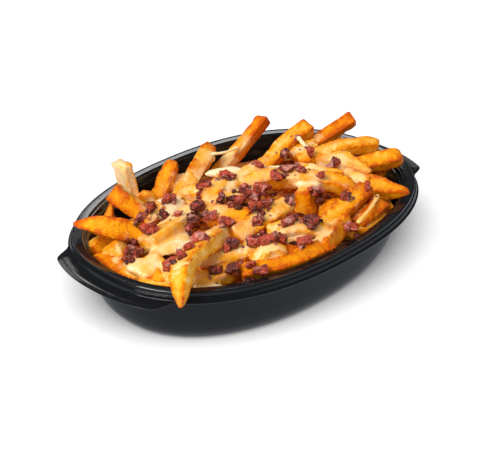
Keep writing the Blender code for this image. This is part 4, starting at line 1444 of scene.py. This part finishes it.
class BaconLook(bpy.types.PropertyGroup):
    crumbs: IntProperty(name="Crumbs", description="Crumbs tried round each bit", default=2, min=0)
    smallest: FloatProperty(name="Smallest crumb", description="Half width of the smallest crumb",
                            default=0.0003, unit="LENGTH")
    largest: FloatProperty(name="Largest crumb", description="Half width of the largest crumb",
                           default=0.0010, unit="LENGTH")
    red: colour_property("Red", "Lightest lean meat", (0.54, 0.070, 0.030))
    lean: colour_property("Lean", "Lean meat", (0.225, 0.030, 0.017))
    burnt: colour_property("Burnt", "Darkest parts", (0.06, 0.010, 0.008))
    # also the colour of the painted glints on the bacon
    fat: colour_property("Fat", "Streaks of fat, and of painted glints", (0.74, 0.33, 0.26))


class BuildTray(bpy.types.Operator):
    """Builds the black plastic tray"""
    bl_idname = "fries.build_tray"
    bl_label = "Tray"

    def execute(self, context):
        sizes = context.scene.fries_tray
        finish_piece(build_tray(sizes), plastic_material(sizes), ["tray"])
        return {"FINISHED"}


class BuildFries(bpy.types.Operator):
    """Builds the fries that show and those between them"""
    bl_idname = "fries.build_fries"
    bl_label = "Fries"

    def execute(self, context):
        look = context.scene.fries_fry
        rng = random.Random(5)
        potato = fried_material(look)
        shown = FryPile()
        placed = []
        for readings, width, thick, roll, first_end, last_end, dark, glaze, red in FRIES:
            path = [seen(*reading) for reading in readings]
            rings, distances = fry_rings(path, width, thick, roll, first_end, last_end, rng)
            shown.add(rings, distances, dark, glaze, red, rng)
            placed.append(rings)
        finish_piece(shown.make("fries_on_top"), potato, ["fries"])
        below = FryPile()
        lay_filling(below, random.Random(8), look.filling, placed)
        finish_piece(below.make("fries_below"), potato)
        core = mesh_object("fries_packed", *build_core())
        # painted shade: the packed middle is fried darkest and mostly deep brown, like shaded gaps between the
        # fries
        every = [1.0] * len(core.data.vertices)
        set_layers(core, {"dark": every, "deep": every})
        finish_piece(core, potato)
        return {"FINISHED"}


class BuildCheese(bpy.types.Operator):
    """Melts the cheese over the fries"""
    bl_idname = "fries.build_cheese"
    bl_label = "Cheese"

    def execute(self, context):
        look = context.scene.fries_cheese
        cheese = build_cheese(random.Random(3), look.voxel)
        finish_piece(cheese, cheese_material(look, context.scene.fries_fry))
        return {"FINISHED"}


class BuildBacon(bpy.types.Operator):
    """Builds the bits of bacon"""
    bl_idname = "fries.build_bacon"
    bl_label = "Bacon"

    def execute(self, context):
        bits = build_bacon(random.Random(21))
        finish_piece(bits, bacon_material(context.scene.fries_bacon), BACON_NODES)
        return {"FINISHED"}


class BuildCrumbs(bpy.types.Operator):
    """Scatters the small crumbs of bacon"""
    bl_idname = "fries.build_crumbs"
    bl_label = "Crumbs"

    def execute(self, context):
        crumbs = build_crumbs(random.Random(12), bpy.data.materials["bacon"], context.scene.fries_bacon)
        finish_piece(crumbs, None)
        return {"FINISHED"}


class BuildStage(bpy.types.Operator):
    """Sets the white floor, the soft lights and the camera"""
    bl_idname = "fries.build_stage"
    bl_label = "Stage"

    def execute(self, context):
        build_floor()
        build_world(context.scene)
        build_lights()
        build_camera(context.scene)
        return {"FINISHED"}


class FriesPanel(bpy.types.Panel):
    """Lists the steps that build the tray of fries"""
    bl_idname = "VIEW3D_PT_fries"
    bl_label = "Bacon topped fries"
    bl_space_type = "VIEW_3D"
    bl_region_type = "UI"
    bl_category = "Fries"

    def draw(self, context):
        for step in STEPS:
            self.layout.operator(step.bl_idname)


GROUPS = {"fries_tray": TraySizes, "fries_fry": FryLook, "fries_cheese": CheeseLook, "fries_bacon": BaconLook}
STEPS = (BuildTray, BuildFries, BuildCheese, BuildBacon, BuildCrumbs, BuildStage)


def register():
    for item in (*GROUPS.values(), *STEPS, FriesPanel):
        bpy.utils.register_class(item)
    for name, group in GROUPS.items():
        setattr(bpy.types.Scene, name, PointerProperty(type=group))


def unregister():
    for name in GROUPS:
        delattr(bpy.types.Scene, name)
    for item in reversed((*GROUPS.values(), *STEPS, FriesPanel)):
        bpy.utils.unregister_class(item)


def main():
    register()
    bpy.ops.fries.build_tray()
    bpy.ops.fries.build_fries()
    bpy.ops.fries.build_cheese()
    bpy.ops.fries.build_bacon()
    bpy.ops.fries.build_crumbs()
    bpy.ops.fries.build_stage()


if __name__ == "__main__":
    main()
